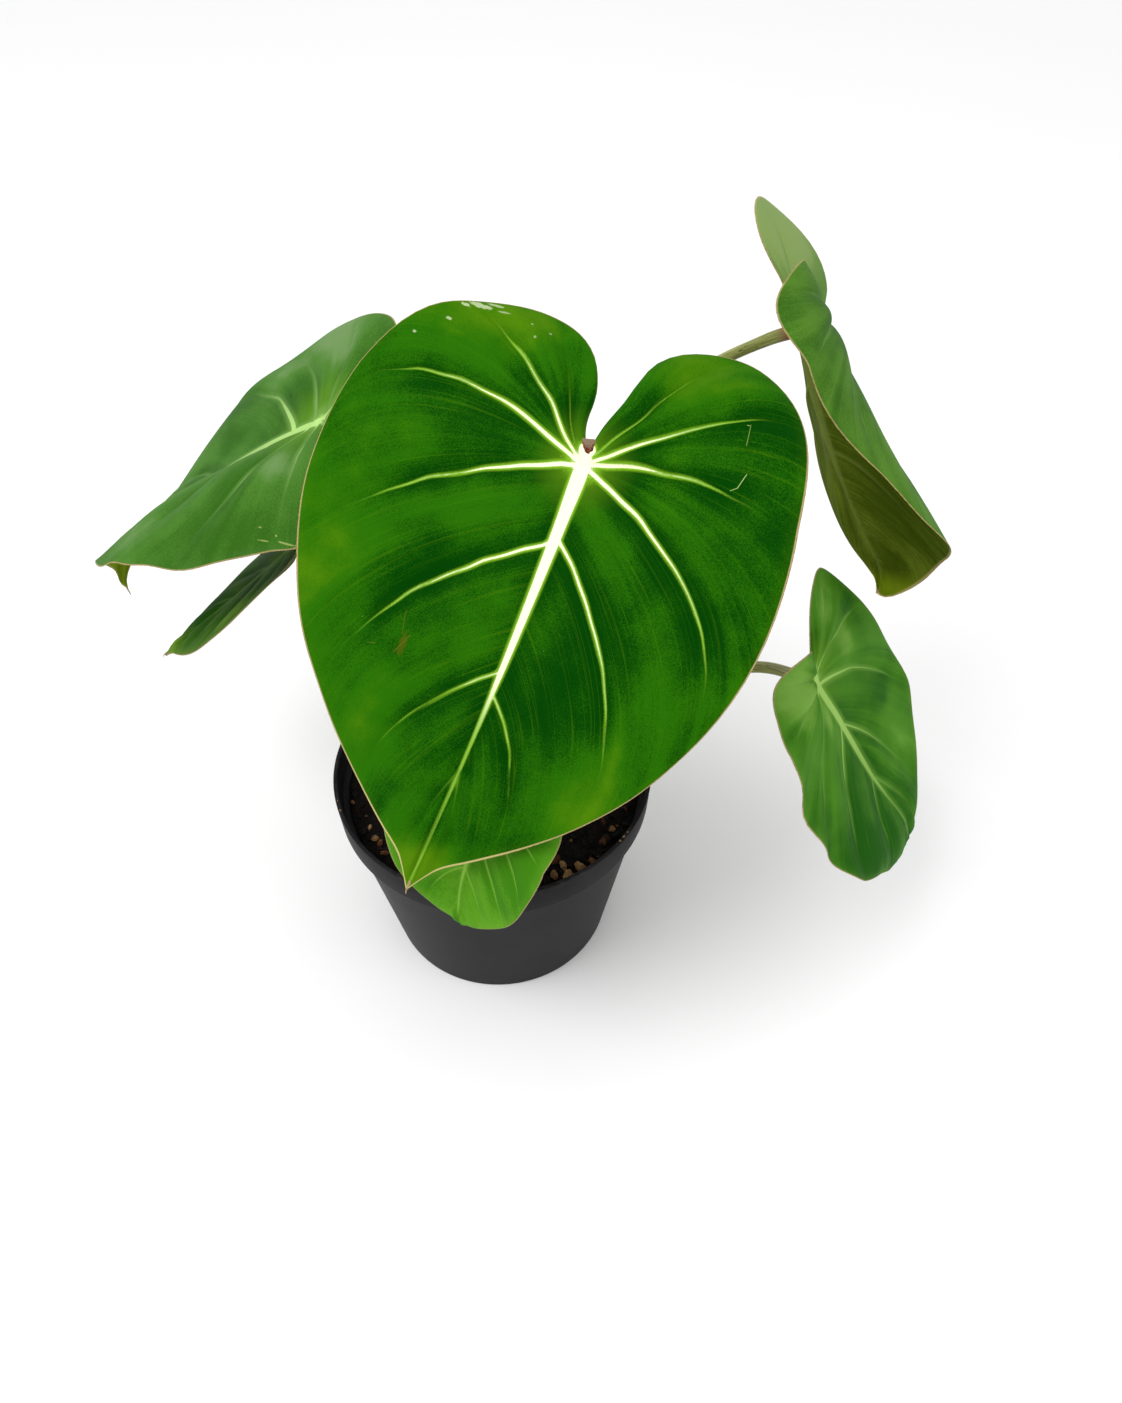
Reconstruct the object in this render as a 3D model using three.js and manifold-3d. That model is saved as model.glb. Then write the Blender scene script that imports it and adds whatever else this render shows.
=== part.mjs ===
// A philodendron gloriosum in a nursery pot: six heart-shaped leaves on long stalks from a creeping stem.
// Millimetres, +Z up. The origin is the middle of the pot's base, and -Y is the front.

import * as THREE from 'three';
import { mergeVertices } from 'three/addons/utils/BufferGeometryUtils.js';
import Module from 'manifold-3d';

const manifold = await Module();
manifold.setup();

// Driving dimensions

const GAP = 0.3; // air between pieces that touch on the real plant

const POT = {
  height: 102,
  rimRadius: 70,
  baseRadius: 52,
  wall: 1.8,
  floor: 2.6,
  bandHeight: 15,
  bandStep: 2.6,
  bandDraft: 0.8,
  lip: 1,
  segments: 48,
};
const BAND_FOOT = POT.height - POT.bandHeight;
const BAND_RADIUS = POT.rimRadius - POT.bandDraft;
const NECK_RADIUS = BAND_RADIUS - POT.bandStep;
const DRAIN = { count: 8, radius: 4, circleRadius: 38, segments: 12 };
const SOIL = {
  edgeHeight: 88,
  crown: 3, // how much higher the middle is
  segments: 40,
  rings: 6,
  // Two low waves in the surface: height, then turns per millimetre along x and y, and a start angle.
  waves: [
    { height: 1.1, x: 0.21, y: 0.17, start: 1.3 },
    { height: 0.7, x: 0.47, y: -0.39, start: 0 },
  ],
};
const BARK = {
  count: 36,
  size: 5.5,
  sizeSpread: 0.6,
  flatness: 0.5, // thickness of a crumb as a share of its length
  sunk: 0.1, // depth of its middle below the surface, also as a share
  clearOfMiddle: 0.15,
  seed: 7,
};

const BLADE = {
  thickness: 0.9,
  midribRelief: 1.3, // how far the midrib stands out below the blade at the stalk
  puff: 0.018, // bulge between two side veins, as a share of the blade's length
  rows: [0, 0.06, 0.2, 0.4, 0.6, 0.8, 1], // from the midrib to the margin
  lobeDepth: 0.27, // how far the lobes reach behind the stalk, as a share of the blade's length
  foldReach: 0.12, // share of the half's width over which the fold at the midrib bends
  bendSteps: 16,
};

// Half of the blade's outline for a blade of length 1: from the sinus round the lobe to the tip.
// x is the distance from the midrib, y runs from the stalk (0) to the tip.
const HALF_OUTLINE = [
  [0, 0], [0.009, -0.06], [0.028, -0.13], [0.062, -0.2], [0.115, -0.246], [0.19, -0.264], [0.27, -0.248],
  [0.35, -0.198], [0.412, -0.112], [0.455, -0.005], [0.48, 0.115], [0.486, 0.235], [0.468, 0.355],
  [0.43, 0.47], [0.37, 0.59], [0.29, 0.7], [0.2, 0.797], [0.11, 0.88], [0.045, 0.938], [0, 1.012],
];
const HALF_WIDTH = 0.49;
// Side veins curve towards the tip: the bow of the middle ones, as a share of their length.
const VEIN_BOW = 0.27;
// Where the seven side veins meet the margin, as shares of the half outline's length.
const SIDE_VEINS = [0.135, 0.25, 0.39, 0.6, 0.746, 0.855, 0.938];
const TIP_SHARES = [0.956, 0.972, 0.987];
const TAPER_RANGE = [0.35, 0.85]; // shares of the blade's length between which a half's taper sets in
const FIRST_SHARE = 0.045; // the outline's share taken by the open sinus next to the stalk
const MIDRIB_START = 0.45; // veins before this share all start at the stalk

// Each leaf: at is where the stalk meets the blade. The tip points along heading and pitch (degrees, pitch
// downwards), and roll turns the blade about its midrib. droop bends the midrib evenly, and tipHook bends it
// from hookFrom on. Pairs give the left and the right half: lobeBend bends the lobe back, fold is at the
// midrib, curl goes across the half, lobeCurl across the lobe, and lobe, width and taper shape the outline.
// sway bends the midrib sideways, and twist turns the blade along its length. A stalk's nearer closes the
// wider space that a steep fold leaves between the stalk's end and the blade.
const LEAVES = [
  {
    name: 'front', length: 171, at: [39.2, -8.7, 270.2], heading: -123.9, pitch: 50, roll: 19.2,
    droop: 10.5, tipHook: 0, hookFrom: 0.82, lobeBend: [48.4, 48.4], fold: [-10.2, 13.6], curl: [7.8, 2.5],
    lobeCurl: [10.4, -23.7], lobe: [0.95, 1.09], width: [1.09, 0.94], taper: [0, 0], sway: 5, twist: 0,
    stalk: { foot: 0.65, route: [[20, 0, 140], [36, 16, 200], [43, 13, 250]] },
  },
  {
    name: 'back_left', length: 146, at: [-64.6, 62, 235.6], heading: 163.2, pitch: 29, roll: 3.3,
    droop: 18, tipHook: 66, hookFrom: 0.82, lobeBend: [0, 0], fold: [27, 28], curl: [-28, -76],
    lobeCurl: [-5, 0], lobe: [0.86, 1.15], width: [0.9, 1], taper: [0, 0], sway: -12.3, twist: -16,
    stalk: { foot: 0.22, route: [[-22, 34, 140], [-42, 52, 190]] },
  },
  {
    name: 'low_left', length: 87, at: [-83.4, 54.9, 180], heading: 197, pitch: 38, roll: -19.6,
    droop: -1, tipHook: 0, hookFrom: 0.82, lobeBend: [0, 0], fold: [-5.9, -3.5], curl: [5.9, 16.8],
    lobeCurl: [0, 8.3], lobe: [1, 1], width: [0.95, 1.04], taper: [0, 0], sway: 16.7, twist: 3,
    stalk: { foot: 0.08, route: [[-33, 38, 120], [-66, 52, 162]] },
  },
  {
    name: 'right_top', length: 119.9, at: [131.3, 116.9, 246], heading: -47.3, pitch: 67.6, roll: 87.5,
    droop: 3.3, tipHook: 111.4, hookFrom: 0.83, lobeBend: [1.8, 40.9], fold: [-7.3, 67.4],
    curl: [-67.3, -0.4], lobeCurl: [-28.4, -39.7], lobe: [1.01, 1.19], width: [1.26, 1.09],
    taper: [-0.37, 0.51], sway: 33, twist: 41.5,
    stalk: {
      foot: 0.365,
      nearer: 0.5,
      route: [[26, 30, 140], [58, 76, 206], [85, 99, 236], [116, 114, 247]],
    },
  },
  {
    name: 'right_low', length: 129.6, at: [134.6, -5.6, 162.1], heading: -34.7, pitch: 62, roll: 15.5,
    droop: -15.5, tipHook: 72.2, hookFrom: 0.59, lobeBend: [-43.1, -7.1], fold: [7.4, 8.8], curl: [-18, -0.1],
    lobeCurl: [-108.8, -17.3], lobe: [0.64, 0.97], width: [0.9, 0.93], taper: [-0.19, 0.69], sway: -29.1,
    twist: -13.7,
    stalk: { foot: 0.51, nearer: 0.4, route: [[36, 14, 116], [78, 19, 136], [112, 14, 148]] },
  },
  {
    name: 'pot_front', young: true, length: 71, at: [4.7, -69.6, 155], heading: -170.3, pitch: 62.3,
    roll: 41.8, droop: 18.5, tipHook: 37.8, hookFrom: 0.82, lobeBend: [8.2, 8.2], fold: [18.1, 2.2],
    curl: [24, 10.5], lobeCurl: [0, -76], lobe: [1, 1.11], width: [1.06, 0.92], taper: [0, 0], sway: -23.2,
    twist: 13.5,
    stalk: { foot: 0.79, route: [[17, -34, 122], [14, -54, 146]] },
  },
];

const STALK = { baseRadius: 3.3, topRadius: 2.4, steps: 16, sides: 8 };
const RHIZOME = {
  radius: 6.5,
  tipRadius: 3.5,
  height: 91.5,
  roundEnd: 0.06, // share of its length that the old end's rounding takes
  taperFrom: 0.82,
  steps: 18,
  sides: 12,
  route: [[-30, 30], [-16, 22], [0, 8], [12, -6], [18, -24]],
};

const COLOURS = {
  pot: 0x3a3c41,
  soil: 0x2a1d15,
  blade: 0x1f6a24,
  youngBlade: 0x4e9a35,
  stalk: 0x6b7338,
  rhizome: 0x5d5a33,
};

// Shared helpers

const radians = THREE.MathUtils.degToRad;
const smooth = (low, high, x) => THREE.MathUtils.smoothstep(x, low, high);

function seededRandom(seed) {
  let state = seed;
  return () => {
    state = (state * 16807) % 2147483647;
    return state / 2147483647;
  };
}

function indexedGeometry(points, triangles) {
  const geometry = new THREE.BufferGeometry();
  geometry.setAttribute('position', new THREE.Float32BufferAttribute(points.flat(), 3));
  geometry.setIndex(triangles.flat());
  return geometry;
}

function toSolid(geometry) {
  const bare = geometry.clone();
  bare.deleteAttribute('normal');
  bare.deleteAttribute('uv');
  const merged = mergeVertices(bare, 1e-4);
  const index = merged.index.array;
  const kept = [];
  for (let i = 0; i < index.length; i += 3) {
    const [a, b, c] = index.slice(i, i + 3);
    if (a !== b && b !== c && a !== c) kept.push(a, b, c);
  }
  const mesh = new manifold.Mesh({
    numProp: 3,
    vertProperties: new Float32Array(merged.attributes.position.array),
    triVerts: new Uint32Array(kept),
  });
  return new manifold.Manifold(mesh);
}

function toGeometry(solid) {
  const mesh = solid.getMesh();
  const geometry = new THREE.BufferGeometry();
  geometry.setAttribute('position', new THREE.BufferAttribute(mesh.vertProperties, 3));
  geometry.setIndex(new THREE.BufferAttribute(mesh.triVerts, 1));
  return geometry;
}

// A closed round tube along a curve, with radiusAt(share) along it.
function tube(curve, steps, sides, radiusAt) {
  const frames = curve.computeFrenetFrames(steps, false);
  const points = [];
  const triangles = [];
  for (let i = 0; i <= steps; i++) {
    const centre = curve.getPointAt(i / steps);
    const radius = radiusAt(i / steps);
    for (let j = 0; j < sides; j++) {
      const angle = (2 * Math.PI * j) / sides;
      const point = centre.clone();
      point.addScaledVector(frames.normals[i], radius * Math.cos(angle));
      point.addScaledVector(frames.binormals[i], radius * Math.sin(angle));
      points.push(point.toArray());
    }
  }
  for (let i = 0; i < steps; i++) {
    for (let j = 0; j < sides; j++) {
      const a = i * sides + j;
      const b = i * sides + ((j + 1) % sides);
      triangles.push([a, b, b + sides], [a, b + sides, a + sides]);
    }
  }
  const last = steps * sides;
  for (let j = 1; j < sides - 1; j++) {
    triangles.push([0, j + 1, j], [last, last + j, last + j + 1]);
  }
  return indexedGeometry(points, triangles);
}

// Pot

function potGeometry() {
  const profile = [
    [0, 0],
    [POT.baseRadius - POT.lip, 0],
    [POT.baseRadius, POT.lip],
    [NECK_RADIUS, BAND_FOOT],
    [BAND_RADIUS, BAND_FOOT + POT.lip / 2],
    [POT.rimRadius, POT.height - POT.lip],
    [POT.rimRadius - POT.lip / 2, POT.height],
    [POT.rimRadius - POT.wall, POT.height],
    [BAND_RADIUS - POT.wall, BAND_FOOT + POT.wall + POT.lip],
    [NECK_RADIUS - POT.wall, BAND_FOOT + POT.wall],
    [POT.baseRadius - POT.wall, POT.floor],
    [0, POT.floor],
  ];
  const points = profile.map(([radius, height]) => new THREE.Vector2(radius, height));
  const shell = new THREE.LatheGeometry(points, POT.segments).rotateX(Math.PI / 2);
  let pot = toSolid(shell);
  for (let k = 0; k < DRAIN.count; k++) {
    const angle = (2 * Math.PI * (k + 0.5)) / DRAIN.count;
    const drill = new THREE.CylinderGeometry(DRAIN.radius, DRAIN.radius, 4 * POT.floor, DRAIN.segments);
    drill.rotateX(Math.PI / 2);
    drill.translate(DRAIN.circleRadius * Math.cos(angle), DRAIN.circleRadius * Math.sin(angle), 0);
    pot = pot.subtract(toSolid(drill));
  }
  return toGeometry(pot);
}

// Creeping stem

const rhizomeCurve = new THREE.CatmullRomCurve3(
  RHIZOME.route.map(([x, y]) => new THREE.Vector3(x, y, RHIZOME.height)),
);

function rhizomeRadius(share) {
  const fromEnd = Math.max(0, RHIZOME.roundEnd - share) / RHIZOME.roundEnd;
  const rounding = Math.sqrt(1 - 0.75 * fromEnd * fromEnd);
  const taper = smooth(RHIZOME.taperFrom, 1, share);
  return rounding * THREE.MathUtils.lerp(RHIZOME.radius, RHIZOME.tipRadius, taper);
}

function rhizomeGeometry(extra = 0) {
  return tube(rhizomeCurve, RHIZOME.steps, RHIZOME.sides, (share) => rhizomeRadius(share) + extra);
}

// Soil

function soilHeight(x, y) {
  const inward = Math.max(0, 1 - (x * x + y * y) / (POT.rimRadius * POT.rimRadius));
  let height = SOIL.edgeHeight + SOIL.crown * inward;
  for (const wave of SOIL.waves) {
    height += wave.height * Math.sqrt(inward) * Math.sin(wave.x * x + wave.start) * Math.cos(wave.y * y);
  }
  return height;
}

function barkCrumb(random, reach) {
  const angle = 2 * Math.PI * random();
  const distance = reach * Math.sqrt(THREE.MathUtils.lerp(BARK.clearOfMiddle, 1, random()));
  const x = distance * Math.cos(angle);
  const y = distance * Math.sin(angle);
  const size = BARK.size * (1 + BARK.sizeSpread * (random() - 0.5));
  const width = size * (BARK.flatness + 0.3 * random());
  const crumb = new THREE.BoxGeometry(size, width, size * BARK.flatness);
  crumb.rotateX(random() - 0.5);
  crumb.rotateY(random() - 0.5);
  crumb.rotateZ(Math.PI * random());
  crumb.translate(x, y, soilHeight(x, y) - BARK.sunk * size);
  return { crumb, x, y, size };
}

function soilGeometry() {
  const slope = (NECK_RADIUS - POT.baseRadius) / (BAND_FOOT - POT.lip);
  const clearance = POT.wall + 2 * GAP;
  const low = POT.floor + GAP;
  const lowRadius = POT.baseRadius + slope * (low - POT.lip) - clearance;
  const topRadius = NECK_RADIUS - clearance;
  const profile = [new THREE.Vector2(0, low), new THREE.Vector2(lowRadius, low)];
  for (let k = 0; k <= SOIL.rings; k++) {
    profile.push(new THREE.Vector2(topRadius * (1 - k / SOIL.rings), BAND_FOOT));
  }
  const geometry = new THREE.LatheGeometry(profile, SOIL.segments).rotateX(Math.PI / 2);
  const position = geometry.attributes.position;
  for (let i = 0; i < position.count; i++) {
    if (position.getZ(i) < BAND_FOOT / 2) continue;
    position.setZ(i, soilHeight(position.getX(i), position.getY(i)));
  }
  let soil = toSolid(geometry).subtract(toSolid(rhizomeGeometry(GAP)));
  const random = seededRandom(BARK.seed);
  for (let k = 0; k < BARK.count; k++) {
    const { crumb, x, y, size } = barkCrumb(random, topRadius - BARK.size);
    if (awayFromRhizome(x, y, size)) soil = soil.add(toSolid(crumb));
  }
  return toGeometry(soil);
}

function awayFromRhizome(x, y, size) {
  const samples = rhizomeCurve.getPoints(2 * RHIZOME.steps);
  return samples.every((p) => Math.hypot(p.x - x, p.y - y) > RHIZOME.radius + size + GAP);
}

// Blades

const halfOutline = new THREE.SplineCurve(HALF_OUTLINE.map(([x, y]) => new THREE.Vector2(x, y)));
halfOutline.arcLengthDivisions = 600;

// Point of a flat blade of length 1. share runs along the margin from the sinus to the tip and row from the
// midrib to the margin, so a line of constant share bends as a side vein does.
function flatPoint(leaf, half, share, row) {
  const margin = halfOutline.getPointAt(share);
  margin.x *= leaf.width[half] * (1 - leaf.taper[half] * smooth(...TAPER_RANGE, margin.y));
  if (margin.y < 0) margin.y *= leaf.lobe[half];
  const alongMidrib = Math.max(0, (share - MIDRIB_START) / (1 - MIDRIB_START));
  const start = new THREE.Vector2(0, Math.pow(alongMidrib, 2.7));
  const chord = margin.clone().sub(start);
  const bow = VEIN_BOW * smooth(0.1, 0.62, share) * (1 - 0.8 * Math.max(0, (share - 0.62) / 0.38));
  const control = start.clone().addScaledVector(chord, 0.5);
  control.add(new THREE.Vector2(bow * chord.y, -bow * chord.x));
  const back = (1 - row) * (1 - row);
  const middle = 2 * row * (1 - row);
  return new THREE.Vector2(
    back * start.x + middle * control.x + row * row * margin.x,
    back * start.y + middle * control.y + row * row * margin.y,
  );
}

function midribAngle(leaf, half, t) {
  if (t < 0) return (radians(leaf.lobeBend[half]) * t) / BLADE.lobeDepth;
  return radians(leaf.droop) * t + radians(leaf.tipHook) * smooth(leaf.hookFrom, 1.02, t);
}

// Bends a flat point with a height above the blade's middle surface into the leaf's own frame.
function bend(leaf, half, flat, height) {
  const steps = BLADE.bendSteps;
  const fold = radians(leaf.fold[half]);
  const curl = radians(leaf.curl[half]) + radians(leaf.lobeCurl[half]) * smooth(0, BLADE.lobeDepth, -flat.y);
  const reach = flat.x / HALF_WIDTH;
  const sideAngle = (q) => fold * (1 - Math.exp(-q / BLADE.foldReach)) + curl * q;
  let across = 0;
  let up = 0;
  let along = 0;
  let down = 0;
  for (let k = 0; k < steps; k++) {
    const share = (k + 0.5) / steps;
    across += (Math.cos(sideAngle(reach * share)) * flat.x * leaf.length) / steps;
    up += (Math.sin(sideAngle(reach * share)) * flat.x * leaf.length) / steps;
    along += (Math.cos(midribAngle(leaf, half, flat.y * share)) * flat.y * leaf.length) / steps;
    down += (Math.sin(midribAngle(leaf, half, flat.y * share)) * flat.y * leaf.length) / steps;
  }
  across -= Math.sin(sideAngle(reach)) * height;
  up += Math.cos(sideAngle(reach)) * height;
  if (half === 1) across = -across;
  const twist = radians(leaf.twist) * flat.y;
  const x = across * Math.cos(twist) - up * Math.sin(twist);
  const z = across * Math.sin(twist) + up * Math.cos(twist);
  const angle = midribAngle(leaf, half, flat.y);
  const sway = (leaf.length * radians(leaf.sway) * Math.pow(Math.max(flat.y, 0), 2)) / 2;
  return new THREE.Vector3(x + sway, along + z * Math.sin(angle), z * Math.cos(angle) - down);
}

function leafAxes(leaf) {
  const [heading, pitch, roll] = [leaf.heading, leaf.pitch, leaf.roll].map(radians);
  const tip = new THREE.Vector3(
    Math.cos(heading) * Math.cos(pitch),
    Math.sin(heading) * Math.cos(pitch),
    -Math.sin(pitch),
  );
  const level = new THREE.Vector3(
    Math.cos(heading) * Math.sin(pitch),
    Math.sin(heading) * Math.sin(pitch),
    Math.cos(pitch),
  );
  const normal = level.clone().applyAxisAngle(tip, -roll);
  const across = new THREE.Vector3().crossVectors(tip, normal);
  return { across, tip, normal };
}

// The shares of the columns of points: each side vein with one column between each two, then closer ones
// towards the tip.
function columnShares() {
  const stops = [FIRST_SHARE, ...SIDE_VEINS];
  const columns = [];
  for (let k = 0; k < stops.length - 1; k++) {
    columns.push({ share: stops[k], bulge: 0 });
    columns.push({ share: (stops[k] + stops[k + 1]) / 2, bulge: 1 });
  }
  for (const share of [SIDE_VEINS[SIDE_VEINS.length - 1], ...TIP_SHARES]) columns.push({ share, bulge: 0 });
  return columns;
}

function bladeGeometry(leaf) {
  const axes = new THREE.Matrix4();
  const { across, tip, normal } = leafAxes(leaf);
  axes.makeBasis(across, tip, normal).setPosition(...leaf.at);
  const columns = columnShares();
  const rows = BLADE.rows;
  const points = [];
  const place = (half, share, row, bulge, side) => {
    const flat = flatPoint(leaf, half, share, row);
    const puff = BLADE.puff * leaf.length * bulge * Math.sin(Math.PI * row) * smooth(0, 0.2, share);
    const relief = row === 0 ? BLADE.midribRelief * (1 - 0.8 * Math.max(flat.y, 0)) : 0;
    const offset = side > 0 ? BLADE.thickness / 2 : -BLADE.thickness / 2 - relief;
    points.push(bend(leaf, half, flat, puff + offset).applyMatrix4(axes).toArray());
    return points.length - 1;
  };
  // One grid of point numbers per face: grid[half][column][row].
  const faces = [1, -1].map((side) => {
    const stalk = place(0, 0, 0, 0, side);
    const tipPoint = place(0, 1, 1, 0, side);
    const midrib = columns.map(({ share }) => (share <= MIDRIB_START ? stalk : place(0, share, 0, 0, side)));
    const grid = [0, 1].map((half) =>
      columns.map(({ share, bulge }, i) =>
        rows.map((row, j) => (j === 0 ? midrib[i] : place(half, share, row, bulge, side))),
      ),
    );
    return { side, stalk, tipPoint, grid };
  });
  const triangles = [];
  const add = (flip, a, b, c) => {
    if (a !== b && b !== c && a !== c) triangles.push(flip ? [a, c, b] : [a, b, c]);
  };
  for (const { side, tipPoint, grid } of faces) {
    for (const half of [0, 1]) {
      const flip = (side > 0) === (half === 1);
      for (let i = 0; i < columns.length; i++) {
        for (let j = 0; j < rows.length - 1; j++) {
          const [a, d] = [grid[half][i][j], grid[half][i][j + 1]];
          const next = grid[half][i + 1];
          const [b, c] = next ? [next[j], next[j + 1]] : [tipPoint, tipPoint];
          add(flip, a, d, c);
          add(flip, a, c, b);
        }
      }
    }
  }
  const rims = faces.map(({ stalk, tipPoint, grid }) => {
    const edge = (half) => [
      ...grid[half][0].slice(1),
      ...grid[half].slice(1).map((column) => column[rows.length - 1]),
    ];
    return [stalk, ...edge(0), tipPoint, ...edge(1).reverse()];
  });
  const [upper, lower] = rims;
  for (let k = 0; k < upper.length; k++) {
    const m = (k + 1) % upper.length;
    triangles.push([lower[k], lower[m], upper[m]], [lower[k], upper[m], upper[k]]);
  }
  return indexedGeometry(points, triangles);
}

// Stalks

// From the top of the creeping stem to just under the blade.
function stalkGeometry(leaf) {
  const foot = rhizomeCurve.getPointAt(leaf.stalk.foot);
  foot.z += rhizomeRadius(leaf.stalk.foot) + GAP;
  const rise = foot.clone().add(new THREE.Vector3(0, 0, 2 * RHIZOME.radius));
  const route = leaf.stalk.route.map((point) => new THREE.Vector3(...point));
  const { normal } = leafAxes(leaf);
  const end = new THREE.Vector3(...leaf.at);
  const arrival = end.clone().sub(route[route.length - 1]).normalize();
  const tilt = Math.sqrt(Math.max(0, 1 - Math.pow(arrival.dot(normal), 2)));
  const seat = BLADE.thickness / 2 + BLADE.midribRelief + GAP + STALK.topRadius * tilt;
  end.addScaledVector(normal, (leaf.stalk.nearer ?? 0) - seat);
  const curve = new THREE.CatmullRomCurve3([foot, rise, ...route, end], false, 'centripetal');
  const radiusAt = (s) => THREE.MathUtils.lerp(STALK.baseRadius, STALK.topRadius, smooth(0, 0.6, s));
  return tube(curve, STALK.steps, STALK.sides, radiusAt);
}

// Assembly

function piece(name, geometry, colour, roughness) {
  const material = new THREE.MeshStandardMaterial({ color: colour, roughness, metalness: 0 });
  const mesh = new THREE.Mesh(geometry, material);
  mesh.name = name;
  return mesh;
}

const plant = new THREE.Group();
plant.add(piece('pot', potGeometry(), COLOURS.pot, 0.45));
plant.add(piece('soil', soilGeometry(), COLOURS.soil, 0.95));
plant.add(piece('rhizome', rhizomeGeometry(), COLOURS.rhizome, 0.7));
for (const leaf of LEAVES) {
  const colour = leaf.young ? COLOURS.youngBlade : COLOURS.blade;
  plant.add(piece(`petiole_${leaf.name}`, stalkGeometry(leaf), COLOURS.stalk, 0.6));
  plant.add(piece(`blade_${leaf.name}`, bladeGeometry(leaf), colour, 0.7));
}

export default plant;
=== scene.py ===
"""A potted philodendron gloriosum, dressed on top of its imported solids."""

import math
import random
from types import SimpleNamespace

import bpy
import numpy as np
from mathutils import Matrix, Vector, noise


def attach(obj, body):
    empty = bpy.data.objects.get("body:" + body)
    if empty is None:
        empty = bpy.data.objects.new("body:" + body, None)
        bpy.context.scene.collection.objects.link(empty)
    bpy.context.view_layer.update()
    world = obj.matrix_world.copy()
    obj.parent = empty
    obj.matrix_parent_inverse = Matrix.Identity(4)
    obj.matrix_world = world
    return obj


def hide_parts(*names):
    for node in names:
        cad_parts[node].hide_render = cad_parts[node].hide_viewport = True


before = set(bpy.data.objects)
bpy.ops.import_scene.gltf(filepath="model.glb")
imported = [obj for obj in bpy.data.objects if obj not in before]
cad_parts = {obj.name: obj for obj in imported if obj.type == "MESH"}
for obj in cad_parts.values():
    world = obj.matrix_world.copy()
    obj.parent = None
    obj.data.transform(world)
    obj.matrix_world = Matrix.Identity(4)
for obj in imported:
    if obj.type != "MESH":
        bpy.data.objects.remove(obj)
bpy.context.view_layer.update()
# Without a seed, noise_vector starts from the time of day.
noise.seed_set(7)

MM = 0.001

# Sizes, in millimetres

POT = dict(height=102, rim_radius=70, base_radius=52, wall=1.8, floor=2.6, band_height=15, band_step=2.6,
           band_draft=0.8)
BAND_FOOT = POT["height"] - POT["band_height"]
BAND_RADIUS = POT["rim_radius"] - POT["band_draft"]
NECK_RADIUS = BAND_RADIUS - POT["band_step"]
DRAIN = dict(count=8, radius=4, circle_radius=38)
SOIL_EDGE = 88
SOIL_CROWN = 3
SOIL_WAVES = ((1.1, 0.21, 0.17, 1.3), (0.7, 0.47, -0.39, 0.0))
SOIL_LUMPS, LUMP_SCALE = 1.2, 0.22
FLOOR_GAP, WALL_GAP, NECK_GAP = 0.3, 0.4, 0.2

# Half of a flat blade of length 1, from the foot of the notch to the tip: across and lengthwise.
HALF_OUTLINE = [
    (0, 0), (0.009, -0.06), (0.028, -0.13), (0.062, -0.2), (0.115, -0.246), (0.19, -0.264), (0.27, -0.248),
    (0.35, -0.198), (0.412, -0.112), (0.455, -0.005), (0.48, 0.115), (0.486, 0.235), (0.468, 0.355),
    (0.43, 0.47), (0.37, 0.59), (0.29, 0.7), (0.2, 0.797), (0.11, 0.88), (0.045, 0.938), (0, 1.012),
]
HALF_WIDTH = 0.49
LOBE_DEPTH = 0.27
FOLD_REACH = 0.12
TAPER_RANGE = (0.35, 0.85)
BEND_STEPS = 16
VEIN_BOW = 0.27
BOW_PEAK = 0.62
MIDRIB_START = 0.45
MIDRIB_CROWDING = 2.7
FIRST_SHARE, LAST_SHARE = 0.045, 0.99
FULL_LENGTH = 171

# Relief of a blade. PUFF is a share of its length.
PUFF = 0.018
THICKNESS, MARGIN_THINNING = 0.7, 0.3
ROLLING, ROLLING_SCALE = 1.6, 0.028
VEIN_REACH, VEIN_GROOVE, VEIN_RIDGE = 1.1, 0.22, 0.35
MIDRIB_REACH, MIDRIB_RIDGE = 3.2, 1.1
WANDER, WANDER_SCALE = 0.9, 0.09

# Mesh of a blade: rows from the midrib to the margin, closer together at the midrib, and the rim past them.
ROWS, ROW_CROWDING, RIM_ROW = 40, 1.35, 1.004
COLUMNS_PER_SHARE, FEWEST_COLUMNS, MOST_COLUMNS = 120, 4, 16

# Each side vein: its share of the margin, half width in mm at the start and in the middle on a blade 171 mm
# long, how far out it stays visible, and how bright it is.
SIDE_VEINS = [
    (0.135, 0.28, 0.1, 0.85, 0.4),
    (0.25, 0.8, 0.24, 0.9, 0.85),
    (0.39, 0.9, 0.26, 0.95, 1.0),
    (0.6, 0.9, 0.26, 0.95, 0.95),
    (0.746, 0.5, 0.22, 0.95, 0.8),
    (0.855, 0.32, 0.17, 0.9, 0.6),
    (0.938, 0.15, 0.08, 0.6, 0.15),
]
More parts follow.
